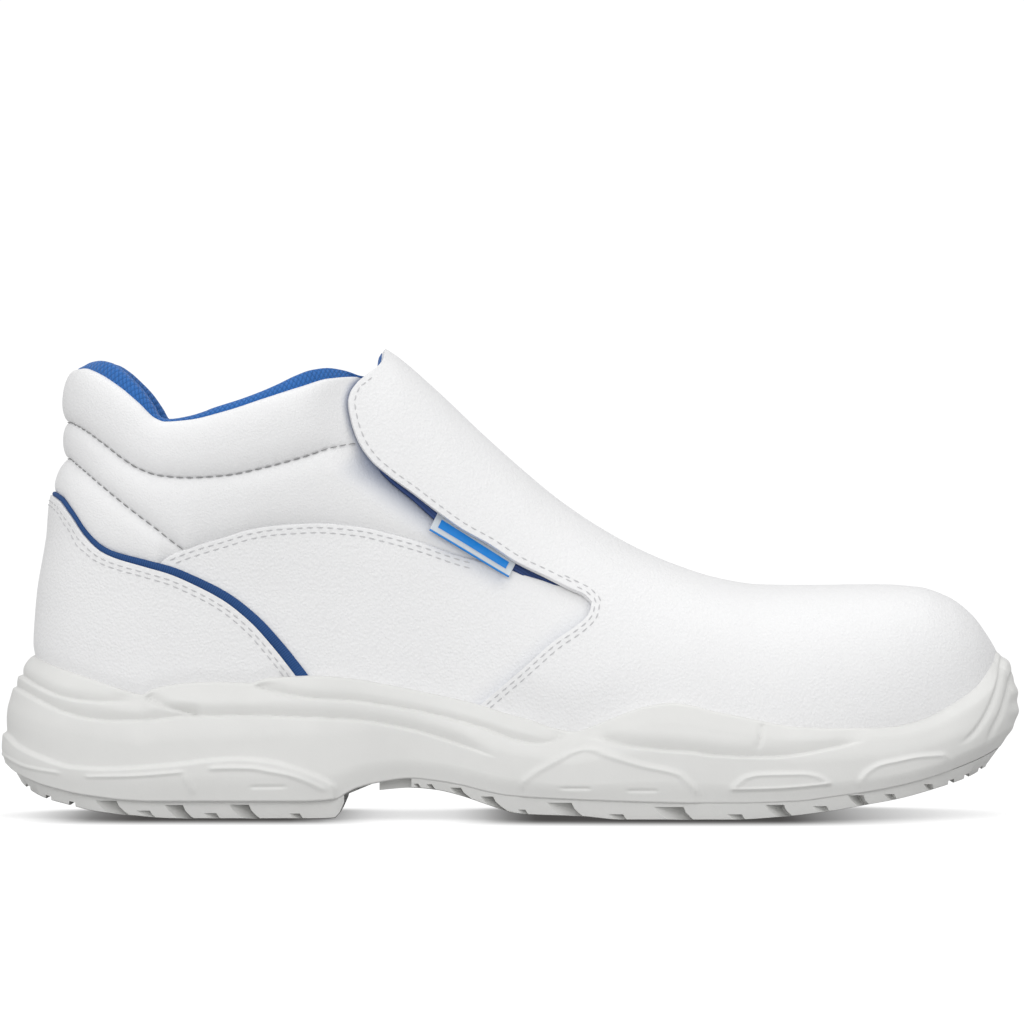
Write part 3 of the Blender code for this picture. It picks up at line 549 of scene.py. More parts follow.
def sewn_together(name, sheets):
    """Join sheets that share their edges into one."""
    piece = joined(sheets)
    piece.name = piece.data.name = name
    close_seams(piece)
    return piece


def close_seams(piece, reach=0.02):
    """Merge the vertices that meet and take out what has shrunk to nothing."""
    edit_all(piece)
    bpy.ops.mesh.remove_doubles(threshold=reach * MM)
    bpy.ops.mesh.dissolve_degenerate(threshold=0.5 * reach * MM)
    end_edit()


def turn_outward(piece):
    """Turn the faces of a piece outward."""
    edit_all(piece)
    bpy.ops.mesh.normals_make_consistent(inside=False)
    end_edit()


def turn_up(piece):
    """Turn the faces of an open sheet so that most of them look up."""
    turn_outward(piece)
    if sum(face.normal.z * face.area for face in piece.data.polygons) < 0:
        edit_all(piece)
        bpy.ops.mesh.flip_normals()
        end_edit()


def fill_ends(piece):
    """Close the open ends of a piece and turn its faces outward."""
    edit_all(piece)
    bpy.ops.mesh.fill_holes(sides=0)
    bpy.ops.mesh.normals_make_consistent(inside=False)
    end_edit()


def apply_all(piece):
    """Apply the modifiers of a piece in order."""
    only(piece)
    for modifier in list(piece.modifiers):
        bpy.ops.object.modifier_apply(modifier=modifier.name)


def thicken(piece, thickness, edge=0.0):
    """Give a sheet its thickness on its inner side and round its cut edges."""
    wall = piece.modifiers.new("wall", "SOLIDIFY")
    wall.thickness = thickness * MM
    wall.offset = -1.0
    wall.use_even_offset = False
    apply_all(piece)
    if edge:
        rim = piece.modifiers.new("cut edge", "BEVEL")
        rim.width = edge * MM
        rim.segments = EDGE_SEGMENTS
        rim.limit_method = "ANGLE"
        rim.angle_limit = math.radians(EDGE_ANGLE)
        apply_all(piece)


def paint(piece, name, shade_at):
    """Store a shade at each point of a piece, from a function of the points in millimetres."""
    shade = shade_at(corners_of(piece) / MM + ORIGIN)
    store = piece.data.attributes.new(name, "FLOAT", "POINT")
    store.data.foreach_set("value", shade.astype(np.float32))


def finish_piece(piece, material, stands_for=(), angle=45.0):
    """Smooth a piece, give it its material and fix it to the boot."""
    only(piece)
    bpy.ops.object.shade_smooth_by_angle(angle=math.radians(angle))
    piece.data.materials.clear()
    piece.data.materials.append(material)
    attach(piece, "root")
    if stands_for:
        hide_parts(*stands_for)
    return piece


# Materials
# Bluish dark colour of the painted shade beside the flap's edge, beside the vamp's seam and under the tab
SHADE_COLOUR = (0.2, 0.25, 0.38)
# Colour of the painted contact shadow on the floor
CONTACT_COLOUR = (0.045, 0.042, 0.04)
FLOOR_LIT_SHARE = 0.35
FLOOR_GLOW_SHARE = 0.8

# The tab's band and line on its UV map, in metres from its lower end
BAND_MIDDLE, BAND_HALF = 0.0036, 0.0015
BAND_CENTRE, BAND_REACH = 0.0138, 0.0118
TAB_LINE = 0.0005


def made_once(make):
    """Return a maker of a named group or material that makes it only the first time."""
    @functools.wraps(make)
    def find(name, *values, **named):
        found = bpy.data.node_groups.get(name) or bpy.data.materials.get(name)
        return found or make(name, *values, **named)
    return find


def new_group(name, inputs, outputs):
    """Start a node group with named sockets and return its tree, its input node and its output node."""
    tree = bpy.data.node_groups.new(name, "ShaderNodeTree")
    for label, value in inputs:
        socket = tree.interface.new_socket(label, in_out="INPUT", socket_type="NodeSocketFloat")
        socket.default_value = value
    for label in outputs:
        tree.interface.new_socket(label, in_out="OUTPUT", socket_type="NodeSocketFloat")
    return tree, tree.nodes.new("NodeGroupInput"), tree.nodes.new("NodeGroupOutput")


def feed(tree, made, **links):
    """Link outputs to the inputs of a node by their name or number, or set plain values there."""
    for name, value in links.items():
        socket = made.inputs[int(name[1:]) if name[0] == "_" else name.replace("_", " ")]
        if isinstance(value, bpy.types.NodeSocket):
            tree.links.new(value, socket)
        else:
            socket.default_value = value
    return made


def node(tree, kind, settings=None, **links):
    """Add a node with its settings, and with values or links for its inputs."""
    made = tree.nodes.new(kind)
    for name, value in (settings or {}).items():
        setattr(made, name, value)
    return feed(tree, made, **links)


def math_node(tree, operation, a, b=0.0, c=0.0):
    """Add a Math node and return its output."""
    return node(tree, "ShaderNodeMath", {"operation": operation}, _0=a, _1=b, _2=c).outputs[0]


def summed(tree, first, first_share, second, second_share):
    """Return the sum of two masks, each times its share."""
    second = math_node(tree, "MULTIPLY", second, second_share)
    return math_node(tree, "MULTIPLY_ADD", first, first_share, second)


def map_range(tree, value, low, high, to_low, to_high):
    """Add a Map Range node and return its output."""
    made = node(tree, "ShaderNodeMapRange", Value=value, From_Min=low, From_Max=high, To_Min=to_low,
                To_Max=to_high)
    return made.outputs["Result"]


def scaled_colour(tree, colour, share):
    """Return a colour from a node scaled by a share."""
    made = node(tree, "ShaderNodeVectorMath", {"operation": "SCALE"}, Vector=colour, Scale=share)
    return made.outputs[0]


def tinted(tree, share, low, high):
    """Return a colour that goes from low to high with a share. Both are plain colours or come from nodes."""
    ends = [end if isinstance(end, bpy.types.NodeSocket) else (*end, 1.0) for end in (low, high)]
    made = node(tree, "ShaderNodeMix", {"data_type": "RGBA"}, Factor=share, _6=ends[0], _7=ends[1])
    return made.outputs[2]


def shaded(colour, share):
    """Return a plain colour made darker or lighter by a share."""
    return tuple(min(part * share, 1.0) for part in colour)


def bumped(tree, shader, height, depth, strength):
    """Raise a surface by a height, with its depth in millimetres."""
    bump = node(tree, "ShaderNodeBump", Height=height, Distance=depth * MM, Strength=strength)
    feed(tree, shader, Normal=bump.outputs["Normal"])


def coordinates(tree, kind="Object"):
    """Return the coordinates of the piece, or those of its UV map."""
    return node(tree, "ShaderNodeTexCoord").outputs[kind]


def noise(tree, **values):
    """Return a noise over the piece."""
    return node(tree, "ShaderNodeTexNoise", Vector=coordinates(tree), **values)


@made_once
def grain_group(name):
    """Make the grain of coated microfibre: small rounded cells with fine creases between them."""
    inputs = (("Cells per metre", 1100.0), ("Crease", 0.6))
    tree, start, end = new_group(name, inputs, ("Height", "Shade"))
    bend = noise(tree, Scale=420.0, Detail=2.0).outputs["Color"]
    shifted = node(tree, "ShaderNodeVectorMath", {"operation": "MULTIPLY_ADD"}, _0=bend,
                   _1=(0.0012, 0.0012, 0.0012), _2=coordinates(tree)).outputs[0]
    cells = node(tree, "ShaderNodeTexVoronoi", {"feature": "SMOOTH_F1"}, Vector=shifted,
                 Scale=start.outputs["Cells per metre"], Smoothness=0.35).outputs["Distance"]
    fine = noise(tree, Scale=2600.0, Detail=3.0, Roughness=0.6).outputs["Fac"]
    wide = noise(tree, Scale=330.0, Detail=2.0).outputs["Fac"]
    crown = math_node(tree, "MULTIPLY", map_range(tree, cells, 0.0, 0.75, 1.0, 0.0), start.outputs["Crease"])
    height = math_node(tree, "MULTIPLY_ADD", wide, 0.5, math_node(tree, "MULTIPLY_ADD", fine, 0.3, crown))
    shade = math_node(tree, "MULTIPLY", map_range(tree, cells, 0.35, 0.9, 0.0, 1.0), wide)
    feed(tree, end, Height=height, Shade=shade)
    return tree


@made_once
def mottle_group(name):
    """Make the slow cloudiness that handling and moulding leave on a pale surface."""
    tree, start, end = new_group(name, (("Patches per metre", 28.0),), ("Patch",))
    cloud = noise(tree, Scale=start.outputs["Patches per metre"], Detail=4.0, Roughness=0.55)
    feed(tree, end, Patch=map_range(tree, cloud.outputs["Fac"], 0.3, 0.7, 0.0, 1.0))
    return tree


@made_once
def knit_group(name):
    """Make a knit of loops on the UV map: slanted stitches with small holes between them."""
    inputs = (("Loops per metre", 900.0), ("Slant", 0.8))
    tree, start, end = new_group(name, inputs, ("Height", "Holes"))
    scaled = scaled_colour(tree, coordinates(tree, "UV"), start.outputs["Loops per metre"])
    parts = node(tree, "ShaderNodeSeparateXYZ", Vector=scaled)
    slanted = math_node(tree, "MULTIPLY", parts.outputs["Y"], start.outputs["Slant"])
    waves = []
    for operation in ("ADD", "SUBTRACT"):
        slope = math_node(tree, "PINGPONG", math_node(tree, operation, parts.outputs["X"], slanted), 0.5)
        waves.append(math_node(tree, "SINE", math_node(tree, "MULTIPLY", slope, math.pi)))
    height = math_node(tree, "MULTIPLY", *waves)
    feed(tree, end, Height=height, Holes=map_range(tree, height, 0.05, 0.35, 1.0, 0.0))
    return tree


@made_once
def rib_group(name):
    """Make a woven tape on the UV map: ribs across it and fine threads along them."""
    inputs = (("Ribs per metre", 900.0), ("Threads per metre", 2600.0))
    tree, start, end = new_group(name, inputs, ("Height", "Valleys"))
    parts = node(tree, "ShaderNodeSeparateXYZ", Vector=coordinates(tree, "UV"))
    rib, thread = [math_node(tree, "PINGPONG", math_node(tree, "MULTIPLY", parts.outputs[way], number), 0.5)
                   for way, number in zip("XY", start.outputs)]
    feed(tree, end, Height=summed(tree, rib, 1.5, thread, 0.5),
         Valleys=map_range(tree, rib, 0.0, 0.3, 1.0, 0.0))
    return tree


def placed_group(tree, group, **values):
    """Place a node group in a material with its own values."""
    return node(tree, "ShaderNodeGroup", {"node_tree": group}, **values)


def cloudiness(tree, patches):
    """Place the cloudiness in a material and return its mask."""
    return placed_group(tree, mottle_group("Mottle"), Patches_per_metre=patches).outputs["Patch"]


def new_material(name):
    """Start a material and return it with its tree and its Principled shader."""
    material = bpy.data.materials.new(name)
    material.use_nodes = True
    return material, material.node_tree, material.node_tree.nodes["Principled BSDF"]


@made_once
def leather_material(name, colour, cells, depth, gloss):
    """Make a coated microfibre with its grain, cloudiness and soft gloss, and the shade painted on it."""
    material, tree, shader = new_material(name)
    grain = placed_group(tree, grain_group("Leather grain"), Cells_per_metre=cells, Crease=0.7)
    height = grain.outputs["Height"]
    shade = summed(tree, grain.outputs["Shade"], 0.5, cloudiness(tree, 26.0), 0.35)
    skin = tinted(tree, shade, colour, shaded(colour, 0.93))
    cast = node(tree, "ShaderNodeAttribute", {"attribute_name": "soft_shade"}).outputs["Fac"]
    feed(tree, shader, Base_Color=tinted(tree, cast, skin, SHADE_COLOUR), Specular_IOR_Level=0.4,
         Roughness=map_range(tree, height, 0.2, 1.2, gloss + 0.1, gloss))
    bumped(tree, shader, height, depth, 0.75)
    return material


@made_once
def sole_material(name, colour, gloss):
    """Make moulded polyurethane: smooth satin skin, faint clouds and a fine mould texture."""
    material, tree, shader = new_material(name)
    patch = cloudiness(tree, 40.0)
    feed(tree, shader, Base_Color=tinted(tree, patch, colour, shaded(colour, 0.955)),
         Roughness=map_range(tree, patch, 0.0, 1.0, gloss, gloss + 0.12))
    bumped(tree, shader, noise(tree, Scale=1500.0, Detail=3.0).outputs["Fac"], 0.05, 0.35)
    return material


@made_once
def knit_material(name, colour, loops, depth):
    """Make a knitted mesh with dark holes between its loops."""
    material, tree, shader = new_material(name)
    knit = placed_group(tree, knit_group("Knit"), Loops_per_metre=loops, Slant=0.75)
    height = knit.outputs["Height"]
    shade = summed(tree, knit.outputs["Holes"], 0.5, cloudiness(tree, 60.0), 0.2)
    feed(tree, shader, Base_Color=tinted(tree, shade, colour, shaded(colour, 0.35)), Sheen_Weight=0.15,
         Roughness=map_range(tree, height, 0.0, 1.0, 0.95, 0.75))
    bumped(tree, shader, height, depth, 0.8)
    return material


@made_once
def tape_material(name, colour, ribs, threads, depth):
    """Make a woven tape with ribs and threads."""
    material, tree, shader = new_material(name)
    weave = placed_group(tree, rib_group("Woven ribs"), Ribs_per_metre=ribs, Threads_per_metre=threads)
    height = weave.outputs["Height"]
    shade = summed(tree, weave.outputs["Valleys"], 0.6, cloudiness(tree, 80.0), 0.25)
    feed(tree, shader, Base_Color=tinted(tree, shade, colour, shaded(colour, 0.45)),
         Roughness=map_range(tree, height, 0.0, 1.0, 0.9, 0.7))
    bumped(tree, shader, height, depth, 0.7)
    return material


@made_once
def thread_material(name, colour):
    """Make sewing thread with its twist."""
    material, tree, shader = new_material(name)
    twist = node(tree, "ShaderNodeTexWave", Vector=coordinates(tree), Scale=1800.0, Distortion=1.0)
    twist = twist.outputs["Fac"]
    feed(tree, shader, Base_Color=tinted(tree, twist, shaded(colour, 0.86), colour),
         Roughness=map_range(tree, twist, 0.0, 1.0, 0.7, 0.55))
    bumped(tree, shader, twist, 0.05, 0.5)
    return material


@made_once
def tag_material(name, clear, blue):
    """Make a clear pressed tab with a plain blue band and a blue line along its lower edge."""
    material, tree, shader = new_material(name)
    parts = node(tree, "ShaderNodeSeparateXYZ", Vector=coordinates(tree, "UV"))
    along, up = parts.outputs["X"], parts.outputs["Y"]
    band = math_node(tree, "COMPARE", up, BAND_MIDDLE, BAND_HALF)
    ends = math_node(tree, "COMPARE", along, BAND_CENTRE, BAND_REACH)
    edge = math_node(tree, "LESS_THAN", up, TAB_LINE)
    patch = cloudiness(tree, 300.0)
    mark = math_node(tree, "MAXIMUM", math_node(tree, "MULTIPLY", band, ends), edge)
    mark = math_node(tree, "MULTIPLY", mark, map_range(tree, patch, 0.0, 1.0, 0.97, 1.0))
    feed(tree, shader, Base_Color=tinted(tree, mark, clear, blue), Specular_IOR_Level=0.3,
         Roughness=map_range(tree, patch, 0.0, 1.0, 0.28, 0.4),
         Alpha=map_range(tree, mark, 0.0, 1.0, 0.55, 1.0))
    bumped(tree, shader, mark, 0.25, 0.8)
    return material


@made_once
def floor_material(name, colour, bounce):
    """Make a pale studio floor that glows for the camera, with a painted shadow where the boot stands on it,
    and dimmer in the light it throws back.
    """
    material, tree, shader = new_material(name)
    seen = node(tree, "ShaderNodeLightPath").outputs["Is Camera Ray"]
    contact = node(tree, "ShaderNodeAttribute", {"attribute_name": "contact"}).outputs["Fac"]
    pale = tinted(tree, cloudiness(tree, 1.5), colour, shaded(colour, 0.995))
    shown = tinted(tree, contact, pale, CONTACT_COLOUR)
    lit = tinted(tree, seen, (bounce, bounce, bounce), scaled_colour(tree, shown, FLOOR_LIT_SHARE))
    glow = tinted(tree, seen, (0.0, 0.0, 0.0), scaled_colour(tree, shown, FLOOR_GLOW_SHARE))
    feed(tree, shader, Base_Color=lit, Emission_Color=glow, Emission_Strength=1.0, Roughness=0.9,
         Specular_IOR_Level=0.0)
    return material


# Sizes and colours a user would change
class BootSizes(bpy.types.PropertyGroup):
    """Sizes of the boot's sheets, seams and padding."""

    leather: FloatProperty(
        name="Leather", description="Thickness of the panels, in millimetres", default=1.7, min=0.8)
    collar_bulge: FloatProperty(
        name="Collar bulge", description="How far the padded rolls stand out, in millimetres",
        default=3.2, min=0.5)
    stitch_pitch: FloatProperty(
        name="Stitch pitch", description="Distance from stitch to stitch, in millimetres",
        default=2.9, min=1.5)
    thread: FloatProperty(
        name="Thread", description="Thickness of the sewing thread, in millimetres", default=0.42, min=0.2)
    relief: FloatProperty(
        name="Sole relief", description="Depth of the sole's relief against the drawn one",
        default=1.2, min=0.0,
        subtype="FACTOR")
    columns: IntProperty(
        name="Sole columns", description="Number of columns around the sole", default=820, min=200)


class BootColours(bpy.types.PropertyGroup):
    """Colours of the boot's materials."""

    leather: FloatVectorProperty(
        name="Leather", description="Colour of the microfibre panels",
        subtype="COLOR", default=(0.84, 0.84, 0.845))
    sole: FloatVectorProperty(
        name="Sole", description="Colour of the moulded sole",
        subtype="COLOR", default=(0.735, 0.735, 0.72))
    mesh: FloatVectorProperty(
        name="Mesh lining", description="Colour of the knitted lining",
        subtype="COLOR", default=(0.02, 0.15, 0.49))
    piping: FloatVectorProperty(
        name="Piping", description="Colour of the piping on the heel",
        subtype="COLOR", default=(0.012, 0.07, 0.235))
    elastic: FloatVectorProperty(
        name="Elastic", description="Colour of the elastic gusset",
        subtype="COLOR", default=(0.025, 0.06, 0.2))
    # The thread itself is white: this darker colour adds painted shade, which stands in for the shadows of
    # its needle holes
    thread: FloatVectorProperty(
        name="Thread", description="Colour of the sewing thread",
        subtype="COLOR", default=(0.63, 0.63, 0.64))
    tag: FloatVectorProperty(
        name="Tab", description="Colour of the tab's band", subtype="COLOR", default=(0.0, 0.2, 0.62))


def sizes():
    """Return the scene's sizes."""
    return bpy.context.scene.boot_sizes


def colour_of(part, share=1.0):
    """Return one of the scene's colours, made darker by a share."""
    return shaded(getattr(bpy.context.scene.boot_colours, part), share)


def panel_leather():
    """Return the material of the outer panels."""
    return leather_material("white microfibre", colour_of("leather"), cells=1150.0, depth=0.2, gloss=0.42)


def soft_leather():
    """Return the material of the collar."""
    return leather_material("soft white microfibre", colour_of("leather"), cells=1500.0, depth=0.15,
                            gloss=0.46)


def mesh_lining():
    """Return the material of the linings."""
    return knit_material("blue knitted mesh", colour_of("mesh"), loops=640.0, depth=0.3)


# The ring around the foot
RING_SAMPLES = 6001
RING_LEVEL = 45.0
GIRTH_START = 40.0
LINE_STEP = 0.3


def sole_ring(count):
    """Return places and sides of an even ring around the foot, from the heel over the outer side and back."""
    stretch = np.linspace(0, 3, RING_SAMPLES)
    toe = np.sin(np.clip(stretch - 2, 0, 1) * math.pi / 2) ** (2 / TOE_ROUND)
    x = np.where(stretch < 2, mix(HEEL_CENTRE, BALL, stretch - 1), mix(BALL, LAST_TIP, toe))
    place = np.where(stretch < 1, stretch, x / HEEL_CENTRE)
    far = lengths_along(on_last(place, RING_LEVEL, OUTER))
    even = np.interp(np.linspace(0, far[-1], count // 2 + 1), far, place)
    back = even[-2:0:-1]
    return np.concatenate((even, back)), np.repeat((OUTER, INNER), (len(even), len(back)))


def level_out(ring):
    """Return the level directions out of a closed ring."""
    along = np.roll(ring, -1, axis=0) - np.roll(ring, 1, axis=0)
    return unit(points_of(along[:, 1], -along[:, 0], 0.0))


def girth_of(place, side):
    """Return the ring where the cup's edge lies on the last, and the level directions out of it."""
    z = np.full(place.shape, GIRTH_START)
    for _ in range(SETTLE_TURNS):
        x = on_last(place, z, side)[..., 0]
        z = np.minimum(cup_edge(x), mix(floor_line(x), ridge_line(x), TOE_HOLD))
    ring = on_last(place, z, side)
    return ring, level_out(ring)


def by_zone(out, heel, flank, toe):
    """Return a value that changes from heel over flank to toe with the direction of the ring."""
    rear, fore = np.clip(-out[:, 0], 0, 1) ** 2, np.clip(out[:, 0], 0, 1) ** 2
    return heel * rear + toe * fore + flank * (1 - rear - fore)


def span(value, start, end, fade):
    """Return 1 between start and end, with soft ends."""
    return ease((value - start) / fade) * ease((end - value) / fade)


def slope_of(path, place):
    """Return the slope of a line at places on it."""
    return (path(place + LINE_STEP) - path(place - LINE_STEP)) / (2 * LINE_STEP)


def off_line(path, place, value):
    """Return the distance of points from a line, measured square to it."""
    return (value - path(place)) / np.sqrt(1 + slope_of(path, place) ** 2)


# The cup sole
FIELD_FADE = 1.5
SCALLOPS = 4
SCALLOP_START, SCALLOP_END = 22.0, 46.0
SCALLOP_PITCH = 6.0
SCALLOP_HEIGHT = 0.5
SCALLOP_TIP, SCALLOP_TIP_FADE, SCALLOP_FADE = 300.0, 4.0, 3.0
CUP_FLOOR_INSET = 3.0
CUP_WALL_INSET = 0.8
CUP_TOE_INSET = 2.0
CUP_RIM_DROP = 0.6
LIP_TURNS = (10, 35, 60)
LIP_DEPTH, LIP_HEIGHT = 1.6, 0.7
WALL_ROWS = 106
WALL_TOP = 0.985
WALL_DROP = 0.35
RELIEF_FADE = 0.05
# Inset and drop of the rows that turn under the wall
UNDER_ROWS = ((0.5, 0.35), (4.0, 0.2))


def wall_relief(x, z):
    """Return how far the side wall stands out at each point seen from the side."""
    height = np.zeros(np.broadcast(x, z).shape)
    for groove in GROOVES:
        d = off_line(groove.path, x, z)
        above = np.clip(1 - d / groove.above, 0, 1) ** 2 * (d >= 0)
        below = ease(1 + d / groove.below) * (d < 0)
        height -= groove.depth * (above + below) * span(x, groove.start, groove.end, groove.fade)
    for groove in UPRIGHT_GROOVES:
        d = off_line(groove.path, z, x)
        reach = span(z, groove.start, groove.end, groove.fade)
        height -= groove.depth * np.exp(-(d / groove.width) ** 2) * reach
    for rib in RIBS:
        d = off_line(rib.path, x, z)
        height += rib.height * np.exp(-(d / rib.width) ** 2) * span(x, rib.start, rib.end, rib.fade)
    for field in FIELDS:
        top, bottom = off_line(field.top, x, z), off_line(field.bottom, x, z)
        inside = ease(0.5 - top / field.soft) * ease(0.5 + bottom / field.soft)
        height += field.height * inside * span(x, field.start, field.end, FIELD_FADE)
    wave = np.cos(np.clip((z - SCALLOP_START) / SCALLOP_PITCH, 0, SCALLOPS) * 2 * math.pi)
    at_tip = ease((x - SCALLOP_TIP) / SCALLOP_TIP_FADE)
    return height - 0.5 * SCALLOP_HEIGHT * wave * at_tip * span(z, SCALLOP_START, SCALLOP_END, SCALLOP_FADE)


def make_cup_sole():
    """Model the cup sole with the relief of its side wall, from a sheet closed to a ring."""
    place, side = sole_ring(sizes().columns)
    ring, out = girth_of(place, side)
    floor, edge = floor_line(ring[:, 0]), cup_edge(ring[:, 0])
    bottom, inner_wall = ring - CUP_FLOOR_INSET * out, ring - CUP_WALL_INSET * out
    bottom[:, 2], inner_wall[:, 2] = floor, mix(floor, edge, 0.5)
    rim_inset = CUP_WALL_INSET + CUP_TOE_INSET * np.clip(out[:, :1], 0, 1) ** 2
    rows = [bottom, inner_wall, ring - out * rim_inset - [0, 0, CUP_RIM_DROP]]
    lip = by_zone(out, heel_wall(1.0), flank_wall(1.0), toe_wall(1.0))
    ring[:, 2] = edge
    for turn in np.radians(LIP_TURNS):
        reach = lip - LIP_DEPTH * (1 - np.sin(turn))
        rows.append(ring + out * reach[:, None] - [0, 0, LIP_HEIGHT * (1 - np.cos(turn))])
    for share in np.linspace(WALL_TOP, 0.0, WALL_ROWS):
        reach = by_zone(out, heel_wall(share), flank_wall(share), toe_wall(share))
        wall = ring + out * reach[:, None]
        wall[:, 2] = mix(parting_line(wall[:, 0]), edge, share) - WALL_DROP * share
        relief = wall_relief(wall[:, 0], wall[:, 2]) * sizes().relief * ease((1 - share) / RELIEF_FADE)
        rows.append(wall + out * relief[:, None])
    foot = rows[-1]
    rows += [foot - out * inset - [0, 0, drop] for inset, drop in UNDER_ROWS]
    points = np.array(rows)
    piece = laid_sheet("cup_sole", np.concatenate((points, points[:, :1]), axis=1)[::-1])
    close_seams(piece)
    fill_ends(piece)
    material = sole_material("white moulded sole", colour_of("sole"), gloss=0.38)
    return finish_piece(piece, material, ["midsole"], angle=60)


# The tread: how far its upper and lower edge stand out at heel, flank and toe
TREAD_TOP_OUT = (8.2, 4.7, 0.4)
TREAD_FOOT_OUT = (5.4, 3.7, -3.6)
TREAD_COLUMNS = 480
TREAD_STEPS = 24
TREAD_EDGE_RISE, TREAD_EDGE_POWER = 0.5, 10
TREAD_SEAT = 0.35
# How far the cutting blocks reach past the tread, and the skin that they leave above them
CUT_BELOW = 4.0
CUT_OUTSIDE = 3.5
NOTCH_OUTSIDE, NOTCH_TOP = 6.0, 16.0
GAP_SKIN, CHANNEL_SKIN = 0.6, 1.2
# The scoop of a gap: how it narrows inward and leans
GAP_NARROWING = 0.92
GAP_LEAN, GAP_LEAN_POWER, GAP_LEAN_MIDDLE = 0.85, 1.7, 0.4
GAP_RUNOUT = 1.0
# Channels: two along the middle, some from the gaps towards the middle and some straight across
MIDDLE_CHANNELS = ((24.0, 96.0), (158.0, 276.0))
MIDDLE_WIDTH, MIDDLE_DEPTH = 4.6, 2.6
CHANNEL_SLANT = 6.0
CHANNEL_FOOT, CHANNEL_TAPER = 1.2, 0.4
CROSS_REACH = np.array([0.0, 60.0])
GapKind = namedtuple("GapKind", "gaps scoop start share width depth")
GAP_KINDS = (GapKind(WIDE_GAPS, 4.6, 8.0, 1.0, 4.2, 2.8), GapKind(SMALL_GAPS, 2.4, 6.0, 0.55, 2.4, 1.6))
# The waist has no channels. A notch at each side and a break right through lie in it
WAIST_CHANNELS_END, WAIST_CHANNELS_START = 104.0, 160.0
WAIST_NOTCH, NOTCH_REACH = (113.7, 123.3), 4.5
WAIST_BREAK, BREAK_REACH = (103.4, 113.8), 120.0


def rungs(ring, steps):
    """Return a sheet of rungs across a ring from its outer to its inner side, short of its two tips."""
    half = len(ring) // 2
    outer, inner = ring[2:half - 1], ring[-2:half + 1:-1]
    share = np.linspace(0, 1, steps + 1)[:, None, None]
    return np.swapaxes(mix(outer[None], inner[None], share), 0, 1)


def cutting_block(shape, cuts=4):
    """Add a block, divide it and place its corners by a function of their shares along, in and up."""
    bpy.ops.object.select_all(action="DESELECT")
    bpy.ops.mesh.primitive_cube_add(size=1.0, location=(0, 0, 0))
    block = bpy.context.object
    block.name = "tread_cutter"
    edit_all(block)
    bpy.ops.mesh.subdivide(number_cuts=cuts)
    end_edit()
    for corner in block.data.vertices:
        corner.co = (shape(*(part + 0.5 for part in corner.co)) - ORIGIN) * MM
    return block


def tread_spot(foot, out, x, side):
    """Return the point of the tread's edge at x on one side, and the level directions out of it and ahead."""
    half = len(foot) // 2
    own = np.arange(1, half) if side == OUTER else np.arange(half + 1, len(foot))
    spot = own[np.argmin(np.abs(foot[own, 0] - x))]
    ahead = points_of(-out[spot, 1], out[spot, 0], 0.0)
    return foot[spot], out[spot], ahead * np.sign(ahead[0])


def side_gap(foot, out, gap, side, reach):
    """Add the scoop of one gap in the tread's side: it narrows inward, ends in a steep wall and leans."""
    spot, away, ahead = tread_spot(foot, out, gap.x, side)
    bottom = float(tread_line(spot[0]))
    top = min(bottom + gap.depth, float(parting_line(spot[0])) - GAP_SKIN)

    def shape(along, inward, up):
        z = mix(bottom - CUT_BELOW, top, up)
        deep = mix(-CUT_OUTSIDE, reach, inward)
        fall = (top - max(z, bottom - GAP_RUNOUT)) / (top - bottom)
        lean = GAP_LEAN * (top - bottom) * (fall ** GAP_LEAN_POWER - GAP_LEAN_MIDDLE)
        moved = mix(GAP_NARROWING * gap.width * deep / reach, gap.width, along) - 0.5 * gap.width + lean
        point = spot + ahead * moved - away * deep
        point[2] = z
        return point

    return cutting_block(shape)


def side_block(foot, out, start, end, side, reach):
    """Add a block that takes the tread away from one side inward, through its whole thickness."""
    spot, away, _ = tread_spot(foot, out, 0.5 * (start + end), side)

    def shape(along, inward, up):
        point = spot + away * mix(NOTCH_OUTSIDE, -reach, inward)
        point[0], point[2] = mix(start, end, along), mix(-CUT_BELOW, NOTCH_TOP, up)
        return point

    return cutting_block(shape, 2)


def channel(start, end, width, depth):
    """Add a bar that cuts a channel into the tread's underside from one point to another."""
    start, end = np.array(start), np.array(end)
    ahead = (end - start) / np.linalg.norm(end - start)
    beside = np.array([-ahead[1], ahead[0]])

    def shape(along, across, up):
        flat = mix(start, end, along) + beside * (across - 0.5) * width * (CHANNEL_FOOT - CHANNEL_TAPER * up)
        bottom = float(tread_line(flat[0]))
        top = min(bottom + depth, float(parting_line(flat[0])) - CHANNEL_SKIN)
        return np.array([*flat, mix(bottom - CUT_BELOW, top, up)])

    return cutting_block(shape, 6)


def gap_channel(foot, out, gap, side, kind):
    """Add the channel that runs from a gap in the tread's side towards its middle."""
    spot, away, _ = tread_spot(foot, out, gap.x, side)
    begin = (spot - kind.start * away)[:2]
    centre = np.array([gap.x + CHANNEL_SLANT, float(middle(gap.x))])
    return channel(begin, mix(begin, centre, kind.share), kind.width, kind.depth)


def tread_cutters(foot, out):
    """Add all the blocks that cut the tread into lugs."""
    blocks = []
    for start, end in MIDDLE_CHANNELS:
        ends = [(x, float(middle(x))) for x in (start, end)]
        blocks.append(channel(*ends, MIDDLE_WIDTH, MIDDLE_DEPTH))
    for side in (OUTER, INNER):
        for kind in GAP_KINDS:
            blocks += [side_gap(foot, out, gap, side, kind.scoop) for gap in kind.gaps]
        blocks.append(side_block(foot, out, *WAIST_NOTCH, side, NOTCH_REACH))
        for kind in GAP_KINDS:
            blocks += [gap_channel(foot, out, gap, side, kind) for gap in kind.gaps
                       if not WAIST_CHANNELS_END < gap.x < WAIST_CHANNELS_START]
    for gap in CROSS_GAPS:
        centre = np.array([gap.x, float(middle(gap.x))])
        blocks.append(channel(centre - CROSS_REACH, centre + CROSS_REACH, gap.width, gap.depth))
    blocks.append(side_block(foot, out, *WAIST_BREAK, OUTER, BREAK_REACH))
    return blocks


